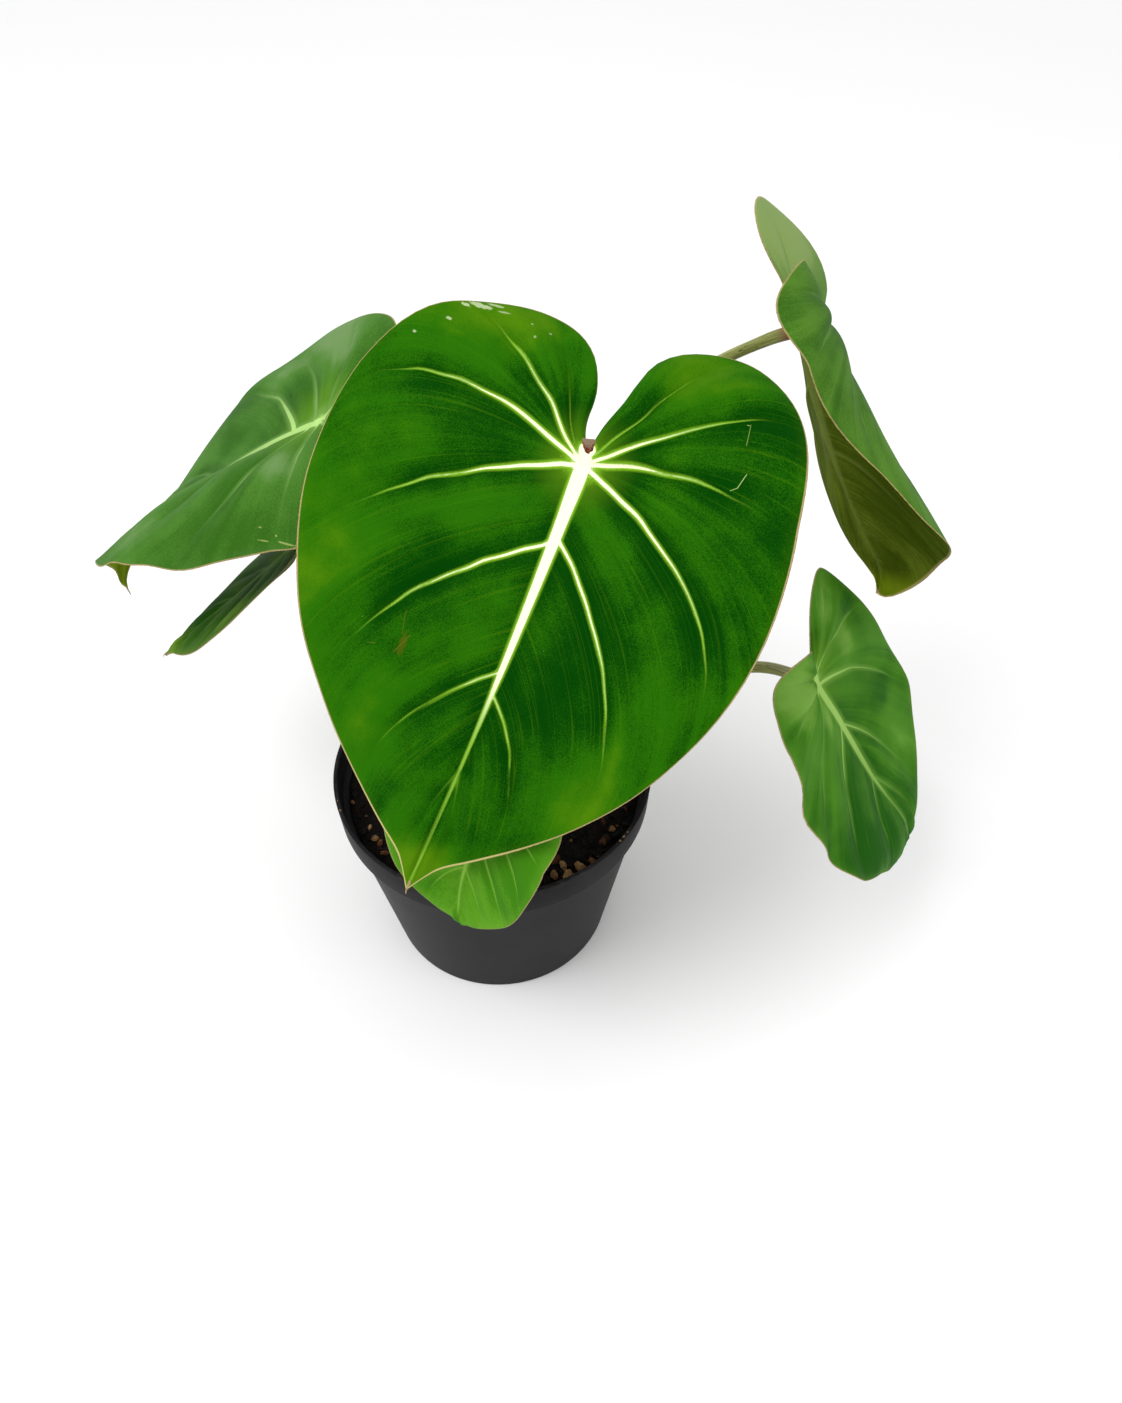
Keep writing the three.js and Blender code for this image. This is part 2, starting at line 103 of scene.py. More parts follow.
# Own side veins of two blades, one list for each half: how far up the midrib each line starts, its share of
# the margin, how much its path bows and leans, then as above. Lines of brightness 0 are no veins, they only
# keep both halves in step.
FRONT_VEINS = (
    [(0.03, 0.162, -0.02, 0, 0.14, 0.05, 0.8, 0.28), (0.03, 0.253, 0.1, 0.3, 0.5, 0.12, 0.85, 0.8),
     (0.03, 0.433, 0.38, 0.24, 0.68, 0.13, 0.97, 1), (0.03, 0.583, 0.15, 0.03, 0.66, 0.13, 0.97, 1),
     (0.173, 0.7305, 0.204, 0.102, 0, 0, 0, 0), (0.188, 0.746, 0.21, 0.11, 0.42, 0.12, 0.95, 0.9),
     (0.467, 0.869, 0.27, 0.16, 0.2, 0.08, 0.9, 0.6), (0.517, 0.8885, 0.219, 0.132, 0, 0, 0, 0),
     (0.69, 0.956, 0.043, 0.035, 0.08, 0.04, 0.7, 0.14)],
    [(0.03, 0.198, 0.05, 0.24, 0.18, 0.06, 0.9, 0.36), (0.03, 0.313, 0.2, 0.3, 0.5, 0.11, 0.9, 0.85),
     (0.03, 0.402, 0.18, -0.04, 0.62, 0.13, 0.97, 1), (0.03, 0.636, 0.36, 0.16, 0.66, 0.14, 0.97, 0.95),
     (0.173, 0.782, 0.27, 0.13, 0.38, 0.12, 0.97, 0.85), (0.188, 0.7866, 0.268, 0.123, 0, 0, 0, 0),
     (0.467, 0.8726, 0.227, -0.007, 0, 0, 0, 0), (0.517, 0.888, 0.22, -0.03, 0.2, 0.08, 0.9, 0.5),
     (0.69, 0.956, 0.04, 0.03, 0.08, 0.04, 0.7, 0.14)],
)
BACK_LEFT_VEINS = (
    [(0, 0.135, 0.004, 0, 0.28, 0.1, 0.85, 0.4), (0, 0.25, 0.054, 0, 0.9, 0.34, 0.9, 1),
     (0, 0.39, 0.158, 0, 0.5, 0.26, 0.95, 0.4), (0.03, 0.56, 0.26, 0, 0.6, 0.3, 0.95, 0.5),
     (0.1, 0.68, 0.24, 0, 1.3, 0.5, 0.9, 1), (0.184, 0.746, 0.198, 0, 0, 0, 0, 0),
     (0.43, 0.855, 0.136, 0, 0.3, 0.17, 0.9, 0.5), (0.745, 0.938, 0.089, 0, 0.15, 0.08, 0.6, 0.1)],
    [(0, 0.135, 0.004, 0, 0.28, 0.1, 0.85, 0.4), (0, 0.25, 0.054, 0, 0.8, 0.24, 0.9, 0.6),
     (0, 0.39, 0.158, 0, 0.9, 0.26, 0.95, 0.8), (0.03, 0.6, 0.269, 0, 0.9, 0.3, 0.95, 0.9),
     (0.1, 0.666, 0.237, 0, 0, 0, 0, 0), (0.184, 0.746, 0.198, 0, 0.5, 0.26, 0.95, 0.8),
     (0.43, 0.855, 0.136, 0, 0.3, 0.17, 0.9, 0.5), (0.745, 0.938, 0.089, 0, 0.15, 0.08, 0.6, 0.1)],
)
# The midrib's half width in mm along a blade 171 mm long.
MIDRIB_WIDTHS = [(0, 3.1), (0.12, 2.8), (0.3, 2.1), (0.42, 1.6), (0.5, 1.1), (0.56, 0.62), (0.75, 0.42),
                 (0.9, 0.25), (1.02, 0.1)]
FRONT_MIDRIB = [(0, 2.2), (0.06, 2.5), (0.14, 1.95), (0.3, 1.4), (0.42, 1.05), (0.47, 0.9), (0.53, 0.6),
                (0.62, 0.44), (0.75, 0.4), (0.9, 0.34), (1.02, 0.2)]

# Each leaf: where its stalk meets it, which way it hangs, and how its flat blade is bent, in degrees. droop
# and hook bend the midrib down, lobe_bend the lobes. fold, curl and lobe_curl bend each half, lobe and width
# stretch it, and taper narrows it towards the tip. nudges are small local shifts: flat x and y, reach, shift.
# foot is the stalk's place along the rhizome, and route the points that it passes.
LEAVES = [
    dict(name="front", length=171, at=(39.2, -8.7, 270.2), heading=-123.9, pitch=50, roll=19.2,
         droop=10.5, hook=0, hook_from=0.82, lobe_bend=(48.4, 48.4), fold=(-10.2, 13.6), curl=(7.8, 2.5),
         lobe_curl=(10.4, -23.7), lobe=(0.95, 1.09), width=(1.09, 0.94), taper=(0, 0), sway=5, twist=0,
         veins=FRONT_VEINS, midrib=FRONT_MIDRIB, fade=0.85, heart_ahead=4.5, drip=(2.2, 0.6),
         nudges=[(-7, -17, 7, (3, 0, 0)), (-9, -26, 6, (1.5, 0, 0)), (3, -8, 9, (-2.4, 0, 0))],
         foot=0.65, route=[(20, 0, 140), (36, 16, 200), (43, 13, 250)]),
    dict(name="back_left", length=146, at=(-64.6, 62, 235.6), heading=163.2, pitch=29, roll=3.3,
         droop=18, hook=66, hook_from=0.82, lobe_bend=(0, 0), fold=(27, 28), curl=(-28, -76),
         lobe_curl=(-5, 0), lobe=(0.86, 1.15), width=(0.9, 1), taper=(0, 0), sway=-12.3, twist=-16,
         veins=BACK_LEFT_VEINS, fade=0.7,
         nudges=[(-71, 30, 22, (0, 2.9, 2.8)), (-64, 66, 18, (0, 4, 3.8)), (-54, 86, 11, (0, 2.5, 2.4)),
                 (-60, -16, 14, (0, -4.3, -4.1)), (56, 66, 24, (-4.5, 3.3, 3.1)),
                 (0, 146, 10, (-6, -1.5, -1.4))],
         foot=0.22, route=[(-22, 34, 140), (-42, 52, 190)]),
    dict(name="low_left", length=87, at=(-83.4, 54.9, 180), heading=197, pitch=38, roll=-19.6,
         droop=-1, hook=0, hook_from=0.82, lobe_bend=(0, 0), fold=(-5.9, -3.5), curl=(5.9, 16.8),
         lobe_curl=(0, 8.3), lobe=(1, 1), width=(0.95, 1.04), taper=(0, 0), sway=16.7, twist=3,
         foot=0.08, route=[(-33, 38, 120), (-66, 52, 162)]),
    dict(name="right_top", length=119.9, at=(131.3, 116.9, 246), heading=-47.3, pitch=67.6, roll=87.5,
         droop=3.3, hook=111.4, hook_from=0.83, lobe_bend=(1.8, 40.9), fold=(-7.3, 67.4), curl=(-67.3, -0.4),
         lobe_curl=(-28.4, -39.7), lobe=(1.01, 1.19), width=(1.26, 1.09), taper=(-0.37, 0.51), sway=33,
         twist=41.5, foot=0.365, nearer=0.5,
         route=[(26, 30, 140), (58, 76, 205), (85, 99, 232.5), (116, 114, 242)]),
    dict(name="right_low", length=129.6, at=(134.6, -5.6, 162.1), heading=-34.7, pitch=62, roll=15.5,
         droop=-15.5, hook=72.2, hook_from=0.59, lobe_bend=(-43.1, -7.1), fold=(7.4, 8.8), curl=(-18, -0.1),
         lobe_curl=(-108.8, -17.3), lobe=(0.64, 0.97), width=(0.9, 0.93), taper=(-0.19, 0.69), sway=-29.1,
         twist=-13.7, wave=(1.6, 0.4), wave_turns=15,
         nudges=[(0, 0, 18, (-5.6, -7.4, 6.2)), (33, 96, 10, (-1, 0.8, 1.2))],
         foot=0.51, nearer=0.4, route=[(36, 14, 116), (78, 19, 136), (112, 14, 148)]),
    dict(name="pot_front", length=71, at=(4.7, -69.6, 155), heading=-170.3, pitch=62.3,
         roll=41.8, droop=18.5, hook=37.8, hook_from=0.82, lobe_bend=(8.2, 8.2), fold=(18.1, 2.2),
         curl=(24, 10.5), lobe_curl=(0, -76), lobe=(1, 1.11), width=(1.06, 0.92), taper=(0, 0), sway=-23.2,
         twist=13.5,
         nudges=[(4, 69, 13, (0, 0.4, 1.8)), (-30, 19, 15, (-1, 0.4, 2.4)), (31, 32, 13, (0.9, 0, 0.4))],
         foot=0.79, route=[(17, -34, 122), (14, -54, 146)]),
]
STALK_BASE, STALK_TOP = 3.3, 2.4
STALK_SINK = 1.5
STALK_SEAT = 0.45 + 1.1
RHIZOME = dict(radius=6.5, tip_radius=3.5, height=91.5, round_end=0.06, taper_from=0.82,
               route=[(-30, 30), (-16, 22), (0, 8), (12, -6), (18, -24)])
# Rings on the rhizome: their places along it, how far each reaches there, and their height.
SCARS = dict(places=(0.15, 0.3, 0.44, 0.58, 0.72, 0.86, 0.94), reach=0.012, height=0.35)
SHEATH = dict(heights=(16, 24), sink=1, foot_radius=4.6, flare=2.2, ripple=0.35, wall=0.35)
# The wedge in the front blade's notch: the ends of its upper and of its lower side on the flat blade.
NOTCH_WEDGE = dict(top=((3.1, -3.6), (-1.5, -4.0)), foot=((-0.1, 0.7), (-1.2, 0.7)), lift=0.55,
                   half_wall=0.25, crown=0.35)

# Crumbs of bark: a strewn lot, larger ones in front (x, y, size, tone), small ones on the rim (turn, size).
STREWN = dict(count=760, radius=63.5, smallest=1.6, spread=4.6)
LARGE_CRUMBS = (
    (33, -52, 7.5, 1.1), (29, -56, 6.5, 1.04), (38, -47, 6.5, 1.0), (43, -44, 5.5, 0.9), (31, -46, 5.5, 0.98),
    (48, -33, 5, 0.85), (36, -51, 4.5, 1.15), (27, -51, 5.5, 0.95), (52, -27, 4.5, 0.95), (-45, -40, 5, 0.9),
    (-39, -46, 4, 0.85), (-50, -32, 4.5, 0.95), (-53, -26, 3.5, 1.05),
)
RIM_CRUMBS = ((-0.62, 1.6), (-0.66, 1.2), (-0.58, 1.0), (-2.75, 1.3), (-2.83, 1.0), (2.2, 1.2), (0.8, 1.1))


# Small helpers

def smooth(low, high, x):
    """0 below low, 1 above high, and an even change between them."""
    t = np.clip((np.asarray(x, float) - low) / (high - low), 0, 1)
    return t * t * (3 - 2 * t)


def curve_points(points, closed_ends, steps=60):
    """Dense points on the centripetal curve (or the plain one, with closed_ends) through the given points."""
    points = np.array(points, float)
    first = points[0] if closed_ends else 2 * points[0] - points[1]
    last = points[-1] if closed_ends else 2 * points[-1] - points[-2]
    knots = np.vstack([first, points, last])
    out = []
    for i in range(1, len(knots) - 2):
        p0, p1, p2, p3 = knots[i - 1:i + 3]
        if closed_ends:
            start, end = (p2 - p0) / 2, (p3 - p1) / 2
        else:
            d0, d1, d2 = (max(np.linalg.norm(b - a), 1e-6) ** 0.5 for a, b in ((p0, p1), (p1, p2), (p2, p3)))
            start = ((p1 - p0) / d0 - (p2 - p0) / (d0 + d1) + (p2 - p1) / d1) * d1
            end = ((p2 - p1) / d1 - (p3 - p1) / (d1 + d2) + (p3 - p2) / d2) * d1
        t = np.linspace(0, 1, steps, endpoint=False)[:, None]
        out.append((2 * t**3 - 3 * t**2 + 1) * p1 + (t**3 - 2 * t**2 + t) * start
                   + (3 * t**2 - 2 * t**3) * p2 + (t**3 - t**2) * end)
    return np.vstack(out + [knots[-2:-1]])


def along(dense, share):
    """Points at shares of a dense curve's length."""
    lengths = np.r_[0, np.cumsum(np.linalg.norm(np.diff(dense, axis=0), axis=1))]
    share = np.asarray(share, float) * lengths[-1]
    return np.stack([np.interp(share, lengths, dense[:, k]) for k in range(dense.shape[1])], -1)


def build(name, points, faces, materials, fields=None, slots=None, smooth_shading=True):
    """A mesh object from points in millimetres, with named per-point numbers or vectors."""
    mesh = bpy.data.meshes.new(name)
    mesh.from_pydata((np.asarray(points) * MM).tolist(), [], faces)
    for field, values in (fields or {}).items():
        values = np.asarray(values, np.float32)
        kind = "FLOAT" if values.ndim == 1 else "FLOAT_VECTOR"
        layer = mesh.attributes.new(field, kind, "POINT")
        layer.data.foreach_set("value" if values.ndim == 1 else "vector", values.ravel())
    for material in materials:
        mesh.materials.append(material)
    if slots is not None:
        mesh.polygons.foreach_set("material_index", np.asarray(slots, np.int32))
    mesh.polygons.foreach_set("use_smooth", [smooth_shading] * len(mesh.polygons))
    mesh.validate()
    mesh.update()
    piece = bpy.data.objects.new(name, mesh)
    bpy.context.scene.collection.objects.link(piece)
    return piece


def weld(points, faces, fields, slots):
    """Joins points that coincide, and drops the faces that collapse."""
    keys = np.round(np.asarray(points) / 1e-3).astype(np.int64)
    _, first, back = np.unique(keys, axis=0, return_index=True, return_inverse=True)
    back = back.reshape(-1)
    kept_faces, kept_slots = [], []
    for face, slot in zip(faces, slots):
        corners = []
        for corner in back[list(face)].tolist():
            if corner not in corners:
                corners.append(corner)
        if len(corners) > 2:
            kept_faces.append(corners)
            kept_slots.append(slot)
    fields = {name: np.asarray(values)[first] for name, values in fields.items()}
    return np.asarray(points)[first], kept_faces, fields, kept_slots


# Materials

class Value:
    """A shader socket that works in Python arithmetic."""

    def __init__(self, finish, socket):
        self.finish = finish
        self.socket = socket

    def math(self, operation, *others):
        return self.finish.add("Math", {"operation": operation}, dict(enumerate((self,) + others)))

    def __add__(self, other):
        return self.math("ADD", other)

    def __sub__(self, other):
        return self.math("SUBTRACT", other)

    def __rsub__(self, other):
        return self.finish.add("Math", {"operation": "SUBTRACT"}, {0: other, 1: self})

    def __mul__(self, other):
        return self.math("MULTIPLY", other)

    def __truediv__(self, other):
        return self.math("DIVIDE", other)

    def __pow__(self, other):
        return self.math("POWER", other)

    __radd__ = __add__
    __rmul__ = __mul__

    def most(self, other):
        return self.math("MAXIMUM", other)

    def least(self, other):
        return self.math("MINIMUM", other)

    def step(self, low, high):
        """0 below low and 1 above high, or the other way round, smoothly."""
        if low > high:
            return 1 - self.step(high, low)
        return self.finish.add("MapRange", {"interpolation_type": "SMOOTHSTEP"}, {0: self, 1: low, 2: high})


class Finish:
    """One procedural material."""

    def __init__(self, name):
        self.material = bpy.data.materials.new(name)
        self.material.use_nodes = True
        self.tree = self.material.node_tree
        self.tree.nodes.clear()

    def add(self, kind, settings=None, sockets=None, out=0):
        node = self.tree.nodes.new("ShaderNode" + kind)
        for key, value in (settings or {}).items():
            setattr(node, key, value)
        for key, value in (sockets or {}).items():
            if isinstance(value, Value):
                self.tree.links.new(value.socket, node.inputs[key])
            else:
                node.inputs[key].default_value = value
        return Value(self, node.outputs[out]) if node.outputs else node

    def field(self, name, vector=False):
        return self.add("Attribute", {"attribute_name": name}, out="Vector" if vector else "Fac")

    def position(self):
        return self.add("NewGeometry", out="Position")

    def part(self, vector, axis):
        return self.add("SeparateXYZ", {}, {0: vector}, out=axis)

    def mix(self, factor, a, b):
        a, b = (c if isinstance(c, Value) else (*c, 1) for c in (a, b))
        return self.add("Mix", {"data_type": "RGBA"}, {0: factor, 6: a, 7: b}, out=2)

    def stretch(self, vector, scale, shift=(0, 0, 0)):
        scaled = self.add("VectorMath", {"operation": "MULTIPLY"}, {0: vector, 1: scale})
        return self.add("VectorMath", {"operation": "ADD"}, {0: scaled, 1: shift})

    def noise(self, vector, scale, detail=2, roughness=0.5):
        return self.add("TexNoise", {}, {"Vector": vector, "Scale": scale, "Detail": detail,
                                         "Roughness": roughness})

    def cells(self, vector, scale, out="Distance"):
        return self.add("TexVoronoi", {}, {"Vector": vector, "Scale": scale}, out=out)

    def blotch(self, flat, x, y, across, lengthwise, grain):
        """A ragged worn spot at a place on the flat blade."""
        near = self.stretch(flat, (1 / across, 1 / lengthwise, 0), (-x / across, -y / lengthwise, 0))
        distance = self.add("VectorMath", {"operation": "LENGTH"}, {0: near}, out="Value")
        ragged = self.noise(flat, 0.45, 3, 0.7)
        return (distance + (ragged - 0.5) * 1.6 + (grain - 0.5) * 0.5).step(1.0, 0.6)

    def stroke(self, flat, start, end, width, grain):
        """A thin scratch between two places on the flat blade."""
        x, y = self.part(flat, "X"), self.part(flat, "Y")
        dx, dy = end[0] - start[0], end[1] - start[1]
        size = dx * dx + dy * dy
        t = ((x - start[0]) * (dx / size) + (y - start[1]) * (dy / size)).most(0).least(1)
        gap_x = x - start[0] - t * dx
        gap_y = y - start[1] - t * dy
        gap = (gap_x * gap_x + gap_y * gap_y) ** 0.5
        return (gap + (grain - 0.5) * width).step(width, width * 0.3)

    def bump(self, height, distance, strength=1.0):
        return self.add("Bump", {}, {"Height": height, "Distance": distance, "Strength": strength})

    def surface(self, **sockets):
        """Closes the material with a Principled shader. In a name, _ stands for a space."""
        values = {}
        for key, value in sockets.items():
            if isinstance(value, tuple) and len(value) == 3:
                value = (*value, 1)
            values[key.replace("_", " ")] = value
        shader = self.add("BsdfPrincipled", {}, values)
        self.add("OutputMaterial", {}, {"Surface": shader})
        return self.material


def blade_values(f, look):
    """What the upper side reads from its mesh, and the noises that its parts share."""
    numbers = {name: f.field(name) for name in ("rib", "rib_bright", "edge", "stalk", "pale")}
    at = SimpleNamespace(strip=f.field("strip", vector=True), flat=f.field("flat", vector=True), **numbers)
    at.bands = f.noise(at.strip, 0.8, 2, 0.5)
    at.lines = f.noise(f.stretch(at.strip, (6, 1.6, 1)), 1.0, 2, 0.6)
    at.cloud = f.noise(f.stretch(at.flat, (0.03, 0.03, 0.03), look["seed"]), 1.0, 2, 0.5)
    at.patch = f.noise(f.stretch(at.flat, (0.09, 0.09, 0.09), look["seed"]), 1.0, 2, 0.5)
    at.grain = f.noise(at.flat, 3.2, 2, 0.75)
    return at


def velvet_ground(f, look, at):
    """Deep to pale green: bands along the veins, partly painted shade of the bulges between them, clouds,
    painted highlights, sheen and shade from the pale places, shade painted beside the veins, threads, a paler
    outer zone and specks.
    """
    # Painted shade: the green darkens within a few mm of the brighter veins, along the grooves between the
    # bulges.
    shade_by_rib = at.rib.step(9, 1.0) * at.rib_bright.step(0.02, 0.3)
    # The bands are partly the leaf's own pattern and partly painted shade and light of the bulges between the
    # veins.
    tone = at.bands * 0.5 + at.lines * look["lines"] + at.cloud * 0.35 + at.patch * 0.25
    # The pale places lift the tone and the light green: partly the leaf's own paler zones, partly painted
    # highlights and sheen, and painted shade where they fall below 0.
    tone = tone + at.pale * look["lift"] + (at.grain - 0.5) * look["grain"] - shade_by_rib * look["rib_shade"]
    colour = f.mix(tone.step(*look["tone_range"]), look["deep"], look["mid"])
    ragged = at.pale + (at.bands - 0.5) * 0.8 + (at.patch - 0.5) * 0.7 + (at.grain - 0.5) * 0.8
    colour = f.mix(ragged.step(0.35, 1.1), colour, look["light"])
    threads = f.noise(f.stretch(at.strip, (4.5, 0.35, 1), (7, 3, 1)), 1.0, 1, 0.5)
    thread = (threads - 0.5).math("ABSOLUTE").step(0.022, 0.0) * (at.lines - 0.35).step(0, 0.25)
    colour = f.mix(thread * at.stalk.step(8, 40) * look["threads"], colour, look["light"])
    outer = at.edge.step(look["outer_width"], 0.5) * (at.cloud.step(0.3, 0.6) * 0.6 + 0.4)
    colour = f.mix(outer * look["outer"], colour, look["light"])
    specks = f.cells(at.flat, 0.13).step(0.022, 0.01) * f.noise(at.flat, 0.05, 1).step(0.5, 0.62)
    return f.mix(specks * look["specks"], colour, look["speck"])


def pale_veins(f, look, at, colour):
    """Glow and pale core of the veins, and the star where they meet at the stalk."""
    near = look["vein_reach"] * 0.2
    reach = at.stalk.step(look["vein_reach"], near) * (1 - look["far_veins"]) + look["far_veins"]
    fuzz = (at.grain - 0.5) * look["fuzz"]
    glow = ((at.rib + fuzz) / (at.rib_bright * look["glow_width"] + 0.15)).step(1, 0)
    glow = glow * at.rib_bright.step(0, 0.5) * reach
    star = at.stalk + (at.grain - 0.5) * 7 + (at.patch - 0.5) * 4
    colour = f.mix(star.step(look["heart"] * 6, look["heart"]) * 0.45, colour, look["flush"])
    glow = glow.most(star.step(look["heart"] * 2.4, look["heart"] * 0.8))
    colour = f.mix(glow * look["glow"], colour, look["halo"])
    core = (at.rib + fuzz * 0.5).step(0.25, -0.2) * at.rib_bright.step(0.05, 0.4) * reach
    vein = f.mix(at.rib_bright.step(0.3, 0.95), look["vein_thin"], look["vein"])
    colour = f.mix(core * look["core"], colour, vein)
    return f.mix(star.step(look["heart"], look["heart"] * 0.4) * look["core"], colour, look["vein"])


def wear_and_margin(f, look, at, colour):
    """Worn spots, scratches and the pale line along the margin."""
    for x, y, across, lengthwise, amount, tint in look["marks"]:
        colour = f.mix(f.blotch(at.flat, x, y, across, lengthwise, at.grain) * amount, colour, tint)
    for start, end, width, tint in look["scratches"]:
        colour = f.mix(f.stroke(at.flat, start, end, width, at.grain) * 0.85, colour, tint)
    at_tip = f.part(at.flat, "Y").step(look["tip_from"] - 35, look["tip_from"])
    margin = at.edge + (at.grain - 0.5) * 0.4 - at_tip * look["tip_margin"]
    line = f.mix(at_tip, look["margin"], look["margin_tip"])
    return f.mix(margin.step(0.6, 0.2) * look["margin_strength"], colour, line)


def leaf_upper(name, look):
    """Velvety upper side, with paler veins in a yellow-green glow."""
    f = Finish(name)
    at = blade_values(f, look)
    colour = pale_veins(f, look, at, velvet_ground(f, look, at))
    height = at.grain * 0.4 + at.lines * 0.6 + f.noise(at.flat, 0.9, 2) * 0.8
    return f.surface(Base_Color=wear_and_margin(f, look, at, colour), Roughness=0.5 + at.grain * 0.25,
                     Specular_IOR_Level=look["gloss"], Normal=f.bump(height, 0.0002, 0.5))


def leaf_under(name, look):
    """Dull underside, with its veins standing out paler."""
    f = Finish(name)
    strip = f.field("strip", vector=True)
    flat = f.field("flat", vector=True)
    rib = f.field("rib")
    bright = f.field("rib_bright")
    edge = f.field("edge")
    lengthwise = f.part(flat, "Y")
    bands = f.noise(strip, 1.0, 3, 0.55)
    lines = f.noise(f.stretch(strip, (8, 1.6, 1)), 1.0, 2, 0.6)
    grain = f.noise(flat, 1.6, 2, 0.7)
    tone = bands * 0.7 + lines * 0.3 + (grain - 0.5) * 0.25
    colour = f.mix(tone.step(0.38, 0.66), look["under_deep"], look["under"])
    # Painted light: the underside turns paler towards the lobes, as if lit through from behind.
    colour = f.mix(lengthwise.step(look["lit_lobes_to"], -20) * 0.9, colour, look["under_lobe_pale_and_lit"])
    colour = f.mix((rib + (grain - 0.5) * 0.5).step(1.2, -0.3) * bright * 0.55, colour, look["under_vein"])
    colour = f.mix(lengthwise.step(look["tip_from"], look["tip_from"] + 8), colour, look["tip_under"])
    colour = f.mix(edge.step(0.9, 0.3) * look["margin_strength"], colour, look["margin"])
    height = grain * 0.5 + lines
    return f.surface(Base_Color=colour, Roughness=0.6 + grain * 0.15, Specular_IOR_Level=0.015,
                     Normal=f.bump(height, 0.0002, 0.5))


def leaf_margin(name, look):
    """Dry pale brown edge of a blade, and its drip tip."""
    f = Finish(name)
    flat = f.field("flat", vector=True)
    grain = f.noise(flat, 1.1, 3, 0.6)
    colour = f.mix(grain.step(0.35, 0.7), look["margin"], look["margin_dark"])
    return f.surface(Base_Color=colour, Roughness=0.5 + grain * 0.2, Specular_IOR_Level=0.25)


def stalk_skin():
    """Olive stalk with fine pale streaks along it and dark flecks."""
    f = Finish("olive_stalk")
    run = f.field("run", vector=True)
    share = f.field("share")
    streak = f.noise(f.stretch(run, (3.2, 0.05, 1)), 1.0, 3, 0.6)
    blot = f.noise(f.stretch(run, (0.5, 0.12, 1)), 1.0, 2, 0.5)
    colour = f.mix(streak.step(0.36, 0.66), (0.13, 0.15, 0.022), (0.36, 0.37, 0.11))
    colour = f.mix(blot.step(0.5, 0.75) * 0.6, colour, (0.1, 0.14, 0.015))
    fleck = f.cells(f.stretch(run, (0.35, 0.11, 1)), 1.0).step(0.16, 0.07)
    colour = f.mix(fleck * 0.85, colour, (0.03, 0.022, 0.01))
    colour = f.mix(share.step(0.955, 0.985), colour, (0.2, 0.055, 0.03))
    height = streak + blot * 0.5 - fleck * 0.5
    return f.surface(Base_Color=colour, Roughness=0.38 + streak * 0.2, Specular_IOR_Level=0.4,
                     Normal=f.bump(height, 0.0003, 0.6))


def sinus_skin():
    """Grey-brown towards the notch, dark red with pale dots at its foot and along its sides."""
    f = Finish("sinus_scale")
    wedge = f.field("wedge", vector=True)
    down, side = f.part(wedge, "X"), f.part(wedge, "Y")
    grain = f.noise(f.position(), 1900, 2, 0.6)
    red = (down * 0.8 + side * 0.5 + (grain - 0.5) * 0.5).step(0.35, 0.75)
    colour = f.mix(red, (0.2, 0.14, 0.09), (0.1, 0.014, 0.007))
    dots = f.cells(f.position(), 1300).step(0.3, 0.15) * (down + side).step(0.6, 1.1)
    colour = f.mix(dots * 0.7, colour, (0.5, 0.42, 0.16))
    return f.surface(Base_Color=colour, Roughness=0.5 + grain * 0.3, Specular_IOR_Level=0.1)


def rhizome_skin():
    """Creeping stem: green internodes, brown papery rings and scars."""
    f = Finish("creeping_stem")
    place = f.position()
    ring = f.field("ring")
    bark = f.noise(place, 240, 4, 0.6)
    colour = f.mix(bark.step(0.35, 0.65), (0.09, 0.12, 0.02), (0.2, 0.2, 0.05))
    colour = f.mix((ring + (bark - 0.5) * 0.6).step(0.35, 0.7), colour, (0.14, 0.07, 0.028))
    return f.surface(Base_Color=colour, Roughness=0.5 + bark * 0.3, Normal=f.bump(bark, 0.0006, 0.7))


def sheath_skin():
    """Dry brown papery sheaths at the feet of the stalks."""
    f = Finish("papery_sheath")
    run = f.field("run", vector=True)
    fibre = f.noise(f.stretch(run, (2.2, 0.12, 1)), 1.0, 4, 0.6)
    colour = f.mix(fibre.step(0.3, 0.7), (0.09, 0.035, 0.012), (0.33, 0.18, 0.07))
    return f.surface(Base_Color=colour, Roughness=0.6 + fibre * 0.2, Normal=f.bump(fibre, 0.0004, 0.8))


def potting_mix():
    """Nearly black moist peat."""
    f = Finish("potting_mix")
    place = f.position()
    lump = f.noise(place, 260, 5, 0.65)
    fine = f.noise(place, 1500, 2, 0.6)
    colour = f.mix((lump * 0.7 + fine * 0.3).step(0.42, 0.72), (0.0015, 0.001, 0.0008), (0.011, 0.006, 0.003))
    return f.surface(Base_Color=colour, Roughness=0.75 + fine * 0.2, Specular_IOR_Level=0.15,
                     Normal=f.bump(lump + fine * 0.5, 0.0015, 0.9))


def bark_crumbs():
    """Crumbs from dark to orange-brown and pale tan."""
    f = Finish("bark_crumbs")
    place = f.position()
    tone = f.field("tone")
    fibre = f.noise(f.stretch(place, (500, 900, 300)), 1.0, 4, 0.65)
    mixed = tone + (fibre - 0.5) * 0.3
    colour = f.mix(mixed.step(0.55, 0.85), (0.002, 0.0014, 0.001), (0.07, 0.022, 0.006))
    colour = f.mix(mixed.step(0.85, 1.05), colour, (0.3, 0.17, 0.07))
    return f.surface(Base_Color=colour, Roughness=0.7 + fibre * 0.25, Specular_IOR_Level=0.2,
                     Normal=f.bump(fibre, 0.001, 0.8))


